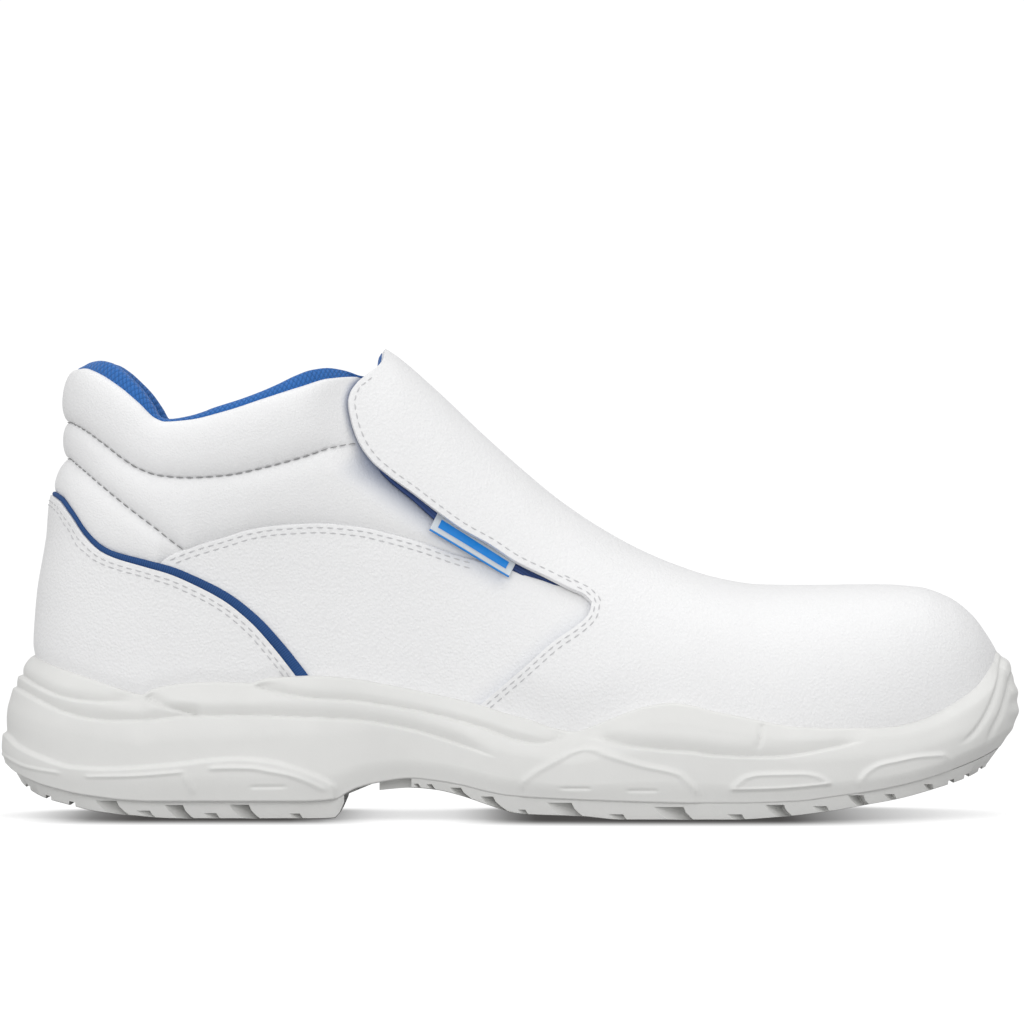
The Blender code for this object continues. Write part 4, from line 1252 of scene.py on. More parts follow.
def cut_away(piece, blocks):
    """Cut blocks, which may run into one another, out of a piece."""
    cutter = joined(blocks)
    turn_outward(cutter)
    cut = piece.modifiers.new("cut", "BOOLEAN")
    cut.operation = "DIFFERENCE"
    cut.solver = "EXACT"
    cut.use_self = True
    cut.object = cutter
    apply_all(piece)
    bpy.data.objects.remove(cutter)


def tread_rings(count):
    """Return the rings of the tread's upper and lower edge and the level directions out of them."""
    ring, out = girth_of(*sole_ring(count))
    top = ring + out * by_zone(out, *TREAD_TOP_OUT)[:, None]
    foot = ring + out * by_zone(out, *TREAD_FOOT_OUT)[:, None]
    return top, foot, out


def make_tread():
    """Model the tread from a sheet closed around its thickness, and cut it into lugs."""
    top, foot, out = tread_rings(TREAD_COLUMNS)
    under, over = rungs(foot, TREAD_STEPS), rungs(top, TREAD_STEPS)
    across = np.abs(np.linspace(-1, 1, TREAD_STEPS + 1))[None, :]
    under[..., 2] = tread_line(under[..., 0]) + TREAD_EDGE_RISE * across ** TREAD_EDGE_POWER
    over[..., 2] = parting_line(over[..., 0]) - TREAD_SEAT
    points = np.concatenate((under[:, ::-1], over, under[:, -1:]), axis=1)
    piece = laid_sheet("tread", np.swapaxes(points, 0, 1))
    close_seams(piece)
    fill_ends(piece)
    cut_away(piece, tread_cutters(foot, out))
    material = sole_material("white moulded tread", colour_of("sole", share=0.99), gloss=0.5)
    return finish_piece(piece, material, ["outsole"], angle=32)


# The footbed
FOOTBED_COLUMNS, FOOTBED_STEPS = 240, 28
FOOTBED_START, FOOTBED_LEVEL = 30.0, 3.0
FOOTBED_INSET = 2.6
FOOTBED_TOP = 4.0
FOOTBED_DISH, FOOTBED_DISH_POWER = 2.2, 4
FOOTBED_THICKNESS = 3.6


def make_footbed():
    """Model the footbed, a dished sheet of covered foam that lies on the cup's floor."""
    place, side = sole_ring(FOOTBED_COLUMNS)
    level = np.full(place.shape, FOOTBED_START)
    for _ in range(SETTLE_TURNS):
        level = floor_line(on_last(place, level, side)[..., 0]) + FOOTBED_LEVEL
    ring = on_last(place, level, side)
    sheet = rungs(ring - level_out(ring) * FOOTBED_INSET, FOOTBED_STEPS)
    across = np.abs(np.linspace(-1, 1, FOOTBED_STEPS + 1))[None, :]
    dish = FOOTBED_DISH * across ** FOOTBED_DISH_POWER
    sheet[..., 2] = floor_line(sheet[..., 0]) + FOOTBED_TOP + dish
    piece = laid_sheet("footbed", np.swapaxes(sheet, 0, 1)[:, ::-1])
    close_seams(piece)
    turn_up(piece)
    thicken(piece, FOOTBED_THICKNESS)
    material = knit_material("blue footbed cover", colour_of("mesh", share=0.8), loops=620.0, depth=0.3)
    return finish_piece(piece, material, ["insole"])


# The panels of the upper
INTO_CUP = 6.0
PANEL_EDGE = 0.5
QUARTER_GRID, COUNTER_GRID = (380, 46), (270, 46)
COUNTER_INTO_CUP = 7.0
COUNTER_FRONT = 94.4
COUNTER_LOW, COUNTER_LIFT = 0.3, 1.6
COUNTER_LIFT_START, COUNTER_LIFT_HEIGHT = 5.0, 9.0
COUNTER_THINNER = 0.3
TOP_RISE, TOP_RISE_START, TOP_RISE_HEIGHT = 0.9, 82.0, 12.0
PIPING_DROP, PIPING_FRONT = -0.6, 91.5
PIPING_COUNT, PIPING_AROUND = 360, 12
PIPING_LIFT, PIPING_THICKNESS = 0.45, 0.75
PIPING_UNDER, PIPING_SPREAD = 0.6, 0.62
PIPING_MERGE = 0.004
# The soft shade beside the vamp's seam and under the tab: strength and how far it reaches
SEAM_SHADE, SEAM_SHADE_REACH, SEAM_SHADE_POWER = 0.16, 5.0, 1.5
SEAM_SLANT = 0.75
SEAM_SHADE_START, SEAM_SHADE_FADE = 137.0, 6.0
TAB_SHADE, TAB_SHADE_REACH = 0.2, 6.5
TAB_SHADE_FADES = (8.0, 5.0)
TAB_SHADE_PAST = 2.0


def shade_by_seam(points):
    """Return the soft shade on the quarters beside the vamp's seam and, on the outer side, under the tab."""
    x, y, z = points.T
    above = (z - seam_line(x)) * SEAM_SLANT
    seam = SEAM_SHADE * np.clip(1 - above / SEAM_SHADE_REACH, 0, 1) ** SEAM_SHADE_POWER
    seam = seam * ease((x - SEAM_SHADE_START) / SEAM_SHADE_FADE)
    start, end = TAG_CORNERS[2:]
    reach = np.linalg.norm(end - start)
    ahead = (end - start) / reach
    along = (x - start[0]) * ahead[0] + (z - start[1]) * ahead[1]
    below = (x - start[0]) * ahead[1] - (z - start[1]) * ahead[0]
    tab = TAB_SHADE * ease(1 - np.maximum(below, 0) / TAB_SHADE_REACH)
    tab = tab * ease(along / TAB_SHADE_FADES[0]) * ease((reach + TAB_SHADE_PAST - along) / TAB_SHADE_FADES[1])
    return np.maximum(seam, np.where(y < 0, tab, 0))


def make_quarters():
    """Model both quarters and the back strip as one sheet around the heel."""
    u, v = grid(*QUARTER_GRID)
    place, z, side = wrapped(u, v, lambda x: cup_edge(x) - INTO_CUP, quarter_edge, quarter_front)
    piece = laid_sheet("quarters", on_last(place, z, side))
    close_seams(piece)
    thicken(piece, sizes().leather, PANEL_EDGE)
    # Painted shade beside the vamp's seam and under the tab
    paint(piece, "soft_shade", shade_by_seam)
    return finish_piece(piece, panel_leather(), ["upper"])


def overlay_rise(z):
    """Return how much further the heel overlay stands off towards its top."""
    return TOP_RISE * ease((z - TOP_RISE_START) / TOP_RISE_HEIGHT)


def make_heel_counter():
    """Model the overlay around the heel."""
    u, v = grid(*COUNTER_GRID)
    place, z, side = wrapped(u, v, lambda x: cup_edge(x) - COUNTER_INTO_CUP, counter_edge,
                             lambda z: COUNTER_FRONT + 0 * z)
    base = on_last(place, z, side)
    free = ease((z - cup_edge(base[..., 0]) + COUNTER_LIFT_START) / COUNTER_LIFT_HEIGHT)
    lift = mix(COUNTER_LOW, COUNTER_LIFT, free) + overlay_rise(z)
    piece = laid_sheet("heel_overlay", base + facing(on_last, place, z, side) * lift[..., None])
    close_seams(piece)
    thicken(piece, sizes().leather - COUNTER_THINNER, PANEL_EDGE)
    return finish_piece(piece, panel_leather(), ["heel_counter"])


def edge_way(path, drop, front, count):
    """Return places, heights and sides along a line around the heel, a drop square below it."""
    reach, side = both_sides(np.linspace(0, 1, count))
    z = np.full(reach.shape, float(path(HEEL_CENTRE)))
    for _ in range(SETTLE_TURNS):
        place = reach * place_of(front + 0 * z, z)
        x = on_last(place, z, side)[..., 0]
        z = path(x) - drop * np.sqrt(1 + slope_of(path, x) ** 2)
    return place, z, side


def make_piping():
    """Model the cloth piping that lies along the edge of the heel overlay."""
    place, z, side = edge_way(counter_edge, PIPING_DROP, PIPING_FRONT, PIPING_COUNT)
    centre = on_last(place, z, side)
    out = facing(on_last, place, z, side)
    up = np.cross(out, unit(np.gradient(centre, axis=0)))
    width = piping_width(centre[:, 0])[:, None]
    lift = PIPING_LIFT + overlay_rise(z)[:, None]
    rows = []
    for turn in np.linspace(2 * math.pi, 0, PIPING_AROUND + 1):
        across = 0.5 * width - PIPING_UNDER + PIPING_SPREAD * width * math.sin(turn)
        rows.append(centre + out * (lift + PIPING_THICKNESS * math.cos(turn)) + up * across)
    piece = laid_sheet("heel_piping", np.array(rows))
    close_seams(piece, PIPING_MERGE)
    fill_ends(piece)
    material = tape_material("blue piping cloth", colour_of("piping"), ribs=1500.0, threads=1500.0,
                             depth=0.12)
    return finish_piece(piece, material)


# Vamp, flap, their lining and the gusset
VAMP_STEPS, LINING_STEPS, GUSSET_STEPS = 44, 30, 26
FLAP_COUNT, LINING_COUNT, GUSSET_COUNT = 120, 60, 70
TOP_ROWS, TOP_COUNT = 3, 13
TOP_SHAPE_START, TOP_SHAPE_FADE = 0.45, 0.4
TOE_COUNT, FOREFOOT_COUNT, WING_COUNT = 61, 37, 61
WING_END, WING_POWER = 138.5, 1.6
SKIRT_STEPS = 26
LINING_BACK, LINING_UP, LINING_UP_ROWS = 3.0, 2.2, 12
LINING_END = (FlapRow(108.8, 127, 115), FlapRow(110.9, 130, 114))
LINING_GAP, LINING_THICKNESS, LINING_EDGE = 0.35, 1.2, 0.4
GUSSET_GAP, GUSSET_THICKNESS, GUSSET_EDGE = 0.9, 1.0, 0.2
CAUGHT_DEPTH, CAUGHT_ABOVE, CAUGHT_FADE = 3.4, 1.3, 1.6


def up_to_ridge(x, low, share):
    """Return heights of the cover from a low edge up to the ridge, even around the arch."""
    start = np.arcsin(arch_share(x[:, :1], low, cover_ridge))
    z = cover_height(x, np.sin(mix(start, math.pi / 2, share)))
    z[:, :1] = low
    return z


def flap_sheet(rows, steps, count, top=None):
    """Return points of rows over the instep between two lower edges, the last of them along a drawn top."""
    last = len(rows) - 1
    upper = last - TOP_ROWS
    at = np.concatenate((np.linspace(0, upper, count), np.linspace(upper, last, TOP_COUNT)[1:]))
    x_low, z_low, x_ridge = [line(*enumerate(parts))(at)[:, None] for parts in zip(*rows)]
    share = np.linspace(0, 1, steps + 1)[None, :]
    across = share
    if top is not None:
        drawn_x, drawn_z = np.array(top).T
        angle = np.arcsin(arch_share(drawn_x, drawn_z, cover_ridge))
        place = (angle - angle[0]) / (math.pi / 2 - angle[0])
        moved = (drawn_x - drawn_x[0]) / (drawn_x[-1] - drawn_x[0])
        drawn = line(*zip([0.0, *place[1:-1], 1.0], moved))(share)
        across = mix(share, drawn, ease((at / last - TOP_SHAPE_START) / TOP_SHAPE_FADE)[:, None])
    x = mix(x_low, x_ridge, across)
    return over_instep(x, up_to_ridge(x, z_low, share))


def forefoot_places():
    """Return the places of the vamp's rows from the toe back to the corner of the flap."""
    toe = mix(BALL, LAST_TIP, np.sin(np.linspace(math.pi / 2, 0, TOE_COUNT)) ** (2 / TOE_ROUND))
    return np.concatenate((toe, np.linspace(BALL, VAMP_CORNER, FOREFOOT_COUNT)[1:]))


def vamp_main(steps):
    """Return the sheet of the closed forefoot from the toe back to the corner of the flap."""
    x = forefoot_places()[:, None]
    share = np.linspace(0, 1, steps + 1)[None, :]
    return over_instep(x, up_to_ridge(x, vamp_split(x), share))


def vamp_skirt(side):
    """Return one side of the vamp from inside the cup up to its split line or seam, from the toe back."""
    wing = mix(VAMP_CORNER, WING_END, np.linspace(0, 1, WING_COUNT)[1:] ** WING_POWER)
    x = np.concatenate((forefoot_places(), wing))[:, None]
    top = np.where(x >= VAMP_CORNER, vamp_split(x), seam_line(x))
    low = np.minimum(cup_edge(x) - INTO_CUP, top)
    z = mix(low, top, np.linspace(0, 1, SKIRT_STEPS + 1)[None, :])
    sheet = on_cover(x, z, side)
    return sheet if side == OUTER else sheet[:, ::-1]


def make_vamp_and_flap():
    """Model the vamp and its flap as one cut of material, sewn from the sheets of its parts."""
    parts = (vamp_main(VAMP_STEPS), flap_sheet(FLAP_ROWS, VAMP_STEPS, FLAP_COUNT, FLAP_TOP),
             vamp_skirt(OUTER), vamp_skirt(INNER))
    piece = sewn_together("vamp_flap", [laid_sheet("vamp_part", part) for part in parts])
    thicken(piece, sizes().leather, PANEL_EDGE)
    return finish_piece(piece, panel_leather(), ["instep_flap"])


def make_vamp_lining():
    """Model the blue lining under vamp and flap, which shows as a lip behind the flap's top."""
    behind = [FlapRow(row.x + LINING_BACK, row.z + (LINING_UP if i < LINING_UP_ROWS else 0.0), row.ridge)
              for i, row in enumerate(FLAP_ROWS[:-2])]
    rows = [*behind[1:], *LINING_END]
    parts = vamp_main(LINING_STEPS), flap_sheet(rows, LINING_STEPS, LINING_COUNT, LINING_TOP)
    depth = sizes().leather + LINING_GAP
    piece = sewn_together("vamp_lining", [laid_sheet("lining_part", sunk(part, depth)) for part in parts])
    thicken(piece, LINING_THICKNESS, LINING_EDGE)
    return finish_piece(piece, mesh_lining())


def make_gusset():
    """Model the elastic gusset that shows as a dark strip under the flap's edge."""
    points = flap_sheet(GUSSET_ROWS, GUSSET_STEPS, GUSSET_COUNT)
    below = quarter_edge(points[..., :1]) + CAUGHT_ABOVE - points[..., 2:]
    depth = sizes().leather + GUSSET_GAP + CAUGHT_DEPTH * ease(below / CAUGHT_FADE)
    piece = laid_sheet("elastic_saddle", sunk(points, depth))
    close_seams(piece)
    thicken(piece, GUSSET_THICKNESS, GUSSET_EDGE)
    material = tape_material("navy woven elastic", colour_of("elastic"), ribs=900.0, threads=2400.0,
                             depth=0.2)
    return finish_piece(piece, material, ["elastic_gusset"])


# The padded collar: places up it of its foot, its two sewn folds and its white edge
FOLD_ROWS = (0.0, 0.3, 0.52, 1.0)
COLLAR_LOW, COLLAR_HIGH = 75.0, 125.0
LEAST_ROLL = 0.5
COLLAR_COLUMNS, COLLAR_ROWS, COLLAR_INNER_ROWS = 460, 96, 26
COLLAR_LINING_GRID = (330, 70)
COLLAR_LINING_THICKNESS = 0.8
FLAP_LOW, FLAP_HIGH = 66.5, 131.0
HELD_DOWN, HELD_REACH = 0.92, 17.0
FULL_LOW_ROLL, LEAST_LOW_ROLL = 11.0, 0.15
# Sizes of the rolls at the back and at the side, and how deep foot, folds and edge are seated
ROLL_SIZES = ((0.95, 0.9), (0.72, 1.02), (0.95, 1.12))
FOOT_SEATS, LOW_FOLD_SEATS = (-0.6, -1.8), (-0.9, -1.8)
LOW_SEAT_CHANGE, LOW_SEAT_FADE = 56.0, 7.0
HIGH_FOLD_SEAT, EDGE_SEAT = -0.9, -1.6
SWELL_POWER, SWELL_ROUND = 2.3, 0.56
PUCKER_HEIGHT, PUCKER_FADE, PUCKER_START = 0.22, 9.0, 30.0
# Waves of the puckers: how fast they follow, how far they drift and how fast the drift follows
SLOW_WAVE, QUICK_WAVE, QUICK_SHARE = (0.9, 1.7, 0.21), (2.1, 0.8, 0.33), 0.6
PADDING_BACK, PADDING_FRONT = 7.6, 2.6
PADDING_CHANGE, PADDING_FADE = 86.0, 22.0
INSIDE_RISE, LINING_RISE = 0.3, 0.4
ABOVE_FOOTBED = 5.0


def in_roll(v, start, end):
    """Return which places up the collar belong to a roll. The top roll has its upper end too."""
    return (v >= start) & ((v <= end) if end == FOLD_ROWS[-1] else (v < end))


def collar_rows(u, v):
    """Return places, heights and sides of the collar's outer face, with its rows along the sewn folds."""
    reach, side = both_sides(u)
    z = mix(COLLAR_LOW, COLLAR_HIGH, v)
    for _ in range(SETTLE_TURNS):
        place = reach * place_of(collar_front(z), z)
        x = on_last(place, z, side)[..., 0]
        levels = [collar_foot(x)]
        for fold in (lower_fold, upper_fold, white_edge):
            levels.append(np.maximum(fold(x), levels[-1] + LEAST_ROLL))
        z = np.zeros(v.shape)
        for a, b, low, high in zip(FOLD_ROWS, FOLD_ROWS[1:], levels, levels[1:]):
            z += np.where(in_roll(v, a, b), mix(low, high, (v - a) / (b - a)), 0.0)
    return place, z, side


def edge_of_flap(z):
    """Return where the flap's edge is seen at a height, held at its ends."""
    return flap_edge(np.clip(z, FLAP_LOW, FLAP_HIGH))


def pucker(along, turn):
    """Return fine uneven waves along a seam, different for each turn."""
    rate, drift, drift_rate = SLOW_WAVE
    slow = np.sin(along * rate + drift * np.sin(along * drift_rate + turn))
    rate, drift, drift_rate = QUICK_WAVE
    quick = np.sin(along * rate + turn + drift * np.sin(along * drift_rate))
    return (slow + QUICK_SHARE * quick) / (1 + QUICK_SHARE)


def collar_outside(u, v):
    """Return points of the collar's outer face with its padded rolls."""
    place, z, side = collar_rows(u, v)
    base = on_last(place, z, side)
    x = base[..., 0]
    flank = ease(place)
    low_roll = np.clip((lower_fold(x) - collar_foot(x)) / FULL_LOW_ROLL, LEAST_LOW_ROLL, 1)
    rolls = [mix(*ends, flank) for ends in ROLL_SIZES]
    rolls[0] = rolls[0] * low_roll
    low_seat = mix(*LOW_FOLD_SEATS, ease((x - LOW_SEAT_CHANGE) / LOW_SEAT_FADE))
    seated = (mix(*FOOT_SEATS, flank), low_seat, HIGH_FOLD_SEAT, EDGE_SEAT)
    free = 1 - HELD_DOWN * ease((x - edge_of_flap(z) + HELD_REACH) / HELD_REACH)
    along = place * HEEL_CENTRE * side
    offset = np.zeros(u.shape)
    for i, (a, b) in enumerate(zip(FOLD_ROWS, FOLD_ROWS[1:])):
        t = np.clip((v - a) / (b - a), 0, 1)
        swell = sizes().collar_bulge * rolls[i] * (1 - np.abs(2 * t - 1) ** SWELL_POWER) ** SWELL_ROUND
        end = np.minimum(t, 1 - t)
        near = np.exp(-end * PUCKER_FADE) * (1 - np.exp(-end * PUCKER_START))
        crease = PUCKER_HEIGHT * near * pucker(along, 1.0 + i)
        roll = mix(seated[i], seated[i + 1], t) + (swell + crease) * free
        offset += np.where(in_roll(v, a, b), roll, 0.0)
    return base + facing(on_last, place, z, side) * offset[..., None]


def crown_of_collar(u, rise):
    """Return places, sides and padding depth, heights of white edge, crown, fold and foot, and x there."""
    place, edge, side = collar_rows(u, np.ones(u.shape))
    x = on_last(place, edge, side)[..., 0]
    depth = mix(PADDING_BACK, PADDING_FRONT, ease((x - PADDING_CHANGE) / PADDING_FADE))
    crown = np.maximum(mesh_top(x), edge + rise)
    return place, side, depth, edge, crown, upper_fold(x), collar_foot(x), x


def laid_inside(place, side, v, heights, depths):
    """Return points of a sheet that passes through heights of the last at depths below its surface."""
    height = through(heights, v)
    inward = through([depth + 0 * place for depth in depths], v)
    return on_last(place, height, side) - facing(on_last, place, height, side) * inward[..., None]


def collar_inside(u, v):
    """Return points from the collar's white edge over its crown and down its inner face to its foot."""
    place, side, depth, edge, crown, fold, foot, _ = crown_of_collar(u, INSIDE_RISE)
    heights = (edge, mix(edge, crown, 0.2) - 0.5, crown - 3.4, mix(crown, fold, 0.6), fold, foot)
    depths = (1.6, 0.4 * depth + 1.2, depth - 0.6, depth, depth, 3.4)
    return laid_inside(place, side, v, heights, depths)


# The blue shade on the collar beside the flap: reach and slant low down and higher up
SHADE_REACHES, SHADE_SLANTS = (11.0, 3.0), (0.6, 1.0)
REACH_CHANGE, REACH_FADE = 102.0, 10.0
SLANT_CHANGE, SLANT_FADE = 100.0, 12.0
SHADE_LOW, SHADE_LOW_FADE = 72.0, 10.0
SHADE_POWER = 1.7


def shade_under_flap(points):
    """Return how deep points of the collar lie in the blue shade beside the flap's edge."""
    x, _, z = points.T
    reach = mix(*SHADE_REACHES, ease((z - REACH_CHANGE) / REACH_FADE))
    behind = (edge_of_flap(z) - x) * mix(*SHADE_SLANTS, ease((z - SLANT_CHANGE) / SLANT_FADE))
    return np.clip(1 - behind / reach, 0, 1) ** SHADE_POWER * ease((z - SHADE_LOW) / SHADE_LOW_FADE)


def make_padded_collar():
    """Model the padded collar: sewn rolls outside, a crown, and a plain inner face under the lining."""
    outside = collar_outside(*grid(COLLAR_COLUMNS, COLLAR_ROWS))
    inside = collar_inside(*grid(COLLAR_COLUMNS, COLLAR_INNER_ROWS))
    piece = laid_sheet("collar_padding", np.concatenate((outside, inside[1:], outside[:1])))
    close_seams(piece)
    fill_ends(piece)
    # Painted blue shade beside the flap's edge
    paint(piece, "soft_shade", shade_under_flap)
    return finish_piece(piece, soft_leather(), ["padded_collar"], angle=70)


def make_collar_lining():
    """Model the mesh lining, rolled over the collar's crown and down inside to the footbed."""
    u, v = grid(*COLLAR_LINING_GRID)
    place, side, depth, edge, crown, fold, foot, x = crown_of_collar(u, LINING_RISE)
    floor = floor_line(x) + ABOVE_FOOTBED
    heights = (edge - 1.2, mix(edge, crown, 0.35), crown, crown - 2.2, mix(crown, fold, 0.6), fold, foot - 4,
               mix(foot, floor, 0.5), floor)
    depths = (2.2, 1.6 + 0.08 * depth, 0.5 * depth + 0.6, depth + 0.2, depth + 0.8, depth + 0.8,
              4.2, 2.6, 2.4)
    piece = laid_sheet("collar_lining", laid_inside(place, side, v, heights, depths))
    close_seams(piece)
    thicken(piece, COLLAR_LINING_THICKNESS)
    return finish_piece(piece, mesh_lining(), angle=70)


# The tab
TAB_GRID = (54, 22)
TAB_CAUGHT = -0.6
TAB_LIFTS = (0.85, 2.5)
TAB_WAVE, TAB_WAVES, TAB_WAVE_START = 0.25, 5.0, 0.6
TAB_THICKNESS, TAB_EDGE = 0.55, 0.15
TAB_CLEAR = (0.8, 0.86, 0.9)


def make_tag():
    """Model the bare tab that is caught under the flap's edge."""
    u, v = grid(*TAB_GRID)
    down = mix(TAB_CAUGHT, 1.0, v)
    upper, lower = [mix(start, end, u[..., None]) for start, end in (TAG_CORNERS[:2], TAG_CORNERS[2:])]
    x, z = np.moveaxis(mix(upper, lower, down[..., None]), -1, 0)
    lift = mix(*TAB_LIFTS, ease(down)) + TAB_WAVE * np.sin(u * TAB_WAVES + TAB_WAVE_START) * ease(down)
    out = cover_facing(x, z, OUTER + 0 * x)
    piece = laid_sheet("flap_tag", (on_flank(x, z, OUTER) + out * lift[..., None])[::-1])
    thicken(piece, TAB_THICKNESS, TAB_EDGE)
    return finish_piece(piece, tag_material("clear pressed tab", TAB_CLEAR, colour_of("tag")))


# Stitching
STITCH_SIDES, STITCH_CUTS = 6, 2
TAPER_REACH, TAPER_POWER, LEAST_TAPER = 0.56, 4, 0.05
STITCH_SHARE, STITCH_FLATNESS = 0.72, 0.8
STITCH_BOW, STITCH_SUNK = 0.2, 0.12
LOOK_AHEAD = 0.8
WAY_COUNT = 900
SEAM_ENDS, SEAM_COUNT = (143.0, 176.0), 120
EDGE_ENDS, EDGE_COUNT = (66.6, 134.0), 240
OUTLINE_COUNT = 700
SMOOTHING = 25
# Rows of stitches: drop or inset from the edge, then where they end or start
COUNTER_STITCHES = ((1.6, 89.5), (2.9, 87.5))
QUARTER_DROPS, QUARTER_START, QUARTER_END = (1.3, 2.8), 50.0, 141.0
VAMP_START, VAMP_STITCHES = 0.012, ((1.1, 0.34), (2.5, 0.37))
FLAP_STITCHES = (1.7, 0.345, 0.985)
FOLD_STITCHES = ((upper_fold, 107.0), (lower_fold, 56.0))
FOLD_LIFT, FOLD_THREAD = -0.1, 0.75


def one_stitch():
    """Add one stitch: a short thread with rounded ends, lying along x."""
    bpy.ops.object.select_all(action="DESELECT")
    bpy.ops.mesh.primitive_cylinder_add(vertices=STITCH_SIDES, radius=0.5, depth=1.0, end_fill_type="NGON",
                                        location=(0, 0, 0), rotation=(0, math.pi / 2, 0))
    stitch = bpy.context.object
    bpy.ops.object.transform_apply(location=False, rotation=True, scale=False)
    edit_all(stitch)
    bpy.ops.mesh.subdivide(number_cuts=STITCH_CUTS)
    end_edit()
    for corner in stitch.data.vertices:
        x, y, z = corner.co
        taper = math.sqrt(max(1 - (abs(x) / TAPER_REACH) ** TAPER_POWER, LEAST_TAPER))
        far = math.hypot(y, z)
        if far > 0.02:
            corner.co = (x, y / far * 0.5 * taper, z / far * 0.5 * taper)
    return stitch


def at_stops(values, far, stops):
    """Return the values of a way at stops along it, from the lengths where they are known."""
    return np.stack([np.interp(stops, far, part) for part in values.T], axis=1)


def sew(name, ways, material, share=1.0):
    """Copy one stitch along ways of points and outward directions, as one piece. A share thins the thread."""
    pattern = one_stitch()
    shape = corners_of(pattern)
    faces = [tuple(face.vertices) for face in pattern.data.polygons]
    bpy.data.objects.remove(pattern)
    pitch, thick = sizes().stitch_pitch, sizes().thread * share
    x, y, z = [part[None, :, None] for part in shape.T]
    bow = STITCH_BOW * (1 - (2 * x) ** 2) - STITCH_SUNK
    rows = []
    for path, out in ways:
        far = lengths_along(path)
        count = int(far[-1] // pitch)
        stops = (np.arange(count) + 0.5) * far[-1] / count
        ahead = unit(at_stops(path, far, stops + LOOK_AHEAD) - at_stops(path, far, stops - LOOK_AHEAD))
        away = at_stops(out, far, stops)
        away = unit(away - ahead * np.sum(away * ahead, axis=1, keepdims=True))
        frames = at_stops(path, far, stops), ahead, np.cross(away, ahead), away
        centre, ahead, beside, away = [part[:, None, :] for part in frames]
        length = x * ahead * pitch * STITCH_SHARE
        rows.append(centre + length + y * beside * thick + (z * thick * STITCH_FLATNESS + bow) * away)
    points = np.concatenate(rows).reshape(-1, 3)
    found = [[first + i for i in face] for first in range(0, len(points), len(shape)) for face in faces]
    mesh = bpy.data.meshes.new(name)
    mesh.from_pydata(((points - ORIGIN) * MM).tolist(), [], found)
    piece = bpy.data.objects.new(name, mesh)
    bpy.context.scene.collection.objects.link(piece)
    turn_outward(piece)
    return finish_piece(piece, material, angle=60)


def way_around(path, drop, front, lift):
    """Return a sewing way on the last along a line around the heel."""
    place, z, side = edge_way(path, drop, front, WAY_COUNT)
    out = facing(on_last, place, z, side)
    return on_last(place, z, side) + out * lift, out


def overlay_way(drop, front):
    """Return a sewing way on the heel overlay along its edge."""
    path, out = way_around(counter_edge, drop, front, COUNTER_LIFT)
    return path + out * overlay_rise(path[:, 2])[:, None], out


def outline_of_vamp():
    """Return the edge of vamp and flap seen from the side, from the sole up the seam and back to the top."""
    seam_x = np.linspace(*SEAM_ENDS, SEAM_COUNT)
    edge_z = np.linspace(*EDGE_ENDS, EDGE_COUNT)
    x = np.concatenate((seam_x, [VAMP_CORNER], flap_edge(edge_z)))
    z = np.concatenate((seam_line(seam_x), [seam_line(VAMP_CORNER)], edge_z))
    edge = np.stack((x, z), axis=1)
    far = lengths_along(edge)
    return at_stops(edge, far, np.linspace(0, far[-1], OUTLINE_COUNT))


def inset_way(inset, start, end, side):
    """Return a sewing way on vamp and flap, an inset inside their edge, between two shares of its length."""
    edge = outline_of_vamp()
    kernel = np.ones(SMOOTHING) / SMOOTHING
    ahead = unit(np.stack([np.convolve(np.pad(part, SMOOTHING // 2, mode="edge"), kernel, mode="valid")
                           for part in np.gradient(edge, axis=0).T], axis=1))
    inside = edge + inset * np.stack([ahead[:, 1], -ahead[:, 0]], axis=1)
    x, z = inside[int(start * OUTLINE_COUNT):int(end * OUTLINE_COUNT)].T
    sides = np.full(x.shape, side)
    return on_cover(x, z, sides), cover_facing(x, z, sides)


def make_stitching():
    """Sew the rows of stitches on overlay, quarters, vamp, flap and collar."""
    # White thread dimmed by painted shade of its needle holes
    thread = thread_material("white sewing thread", colour_of("thread"))
    # A darker copy of the white thread for the collar's sewn folds: painted shade of the seams
    fold_shade_thread = thread_material("grey sewing thread", colour_of("thread", share=0.5))
    sew("counter_stitches", [overlay_way(drop, front) for drop, front in COUNTER_STITCHES], thread)
    quarter_rows = []
    for drop in QUARTER_DROPS:
        path, out = way_around(quarter_edge, drop, QUARTER_END, 0.0)
        for side in (OUTER, INNER):
            keep = (path[:, 0] > QUARTER_START + drop) & ((path[:, 1] < 0) == (side < 0))
            quarter_rows.append((path[keep], out[keep]))
    sew("quarter_stitches", quarter_rows, thread)
    sew("vamp_stitches", [inset_way(inset, VAMP_START, end, side) for side in (OUTER, INNER)
                          for inset, end in VAMP_STITCHES], thread)
    sew("flap_stitches", [inset_way(*FLAP_STITCHES, side) for side in (OUTER, INNER)], thread)
    folds = [way_around(fold, 0.0, front, FOLD_LIFT) for fold, front in FOLD_STITCHES]
    sew("collar_stitches", folds, fold_shade_thread, FOLD_THREAD)


# The stage
FOCUS_X, FOCUS_Z = 153.0, 90.9
VIEW_WIDTH = 307.8
VIEW_DISTANCE = 2.4
VIEW_END = 100.0
SENSOR = 36.0
WHITE = (1.0, 1.0, 1.0, 1.0)
AMBIENT, SEEN_AMBIENT = 0.58, 1.05
Light = namedtuple("Light", "name place size power")
LIGHTS = (
    Light("top_light", (0.1, 0.2, 2.2), 2.4, 18.5),
    Light("front_light", (-0.5, -2.7, 1.2), 2.0, 28.0),
    Light("heel_light", (-2.2, -0.9, 1.0), 1.4, 7.5),
    Light("toe_light", (1.7, -1.4, 1.6), 1.4, 8.0),
)
FLOOR_X = np.concatenate(((-1200, -600), np.arange(-80, 386, 4), (800, 1400)))
FLOOR_Y = np.concatenate(((-1200, -500), np.arange(-150, 131, 4), (500, 1200)))
FLOOR_COLOUR, FLOOR_SHARE = (0.97, 0.97, 0.97), 0.54
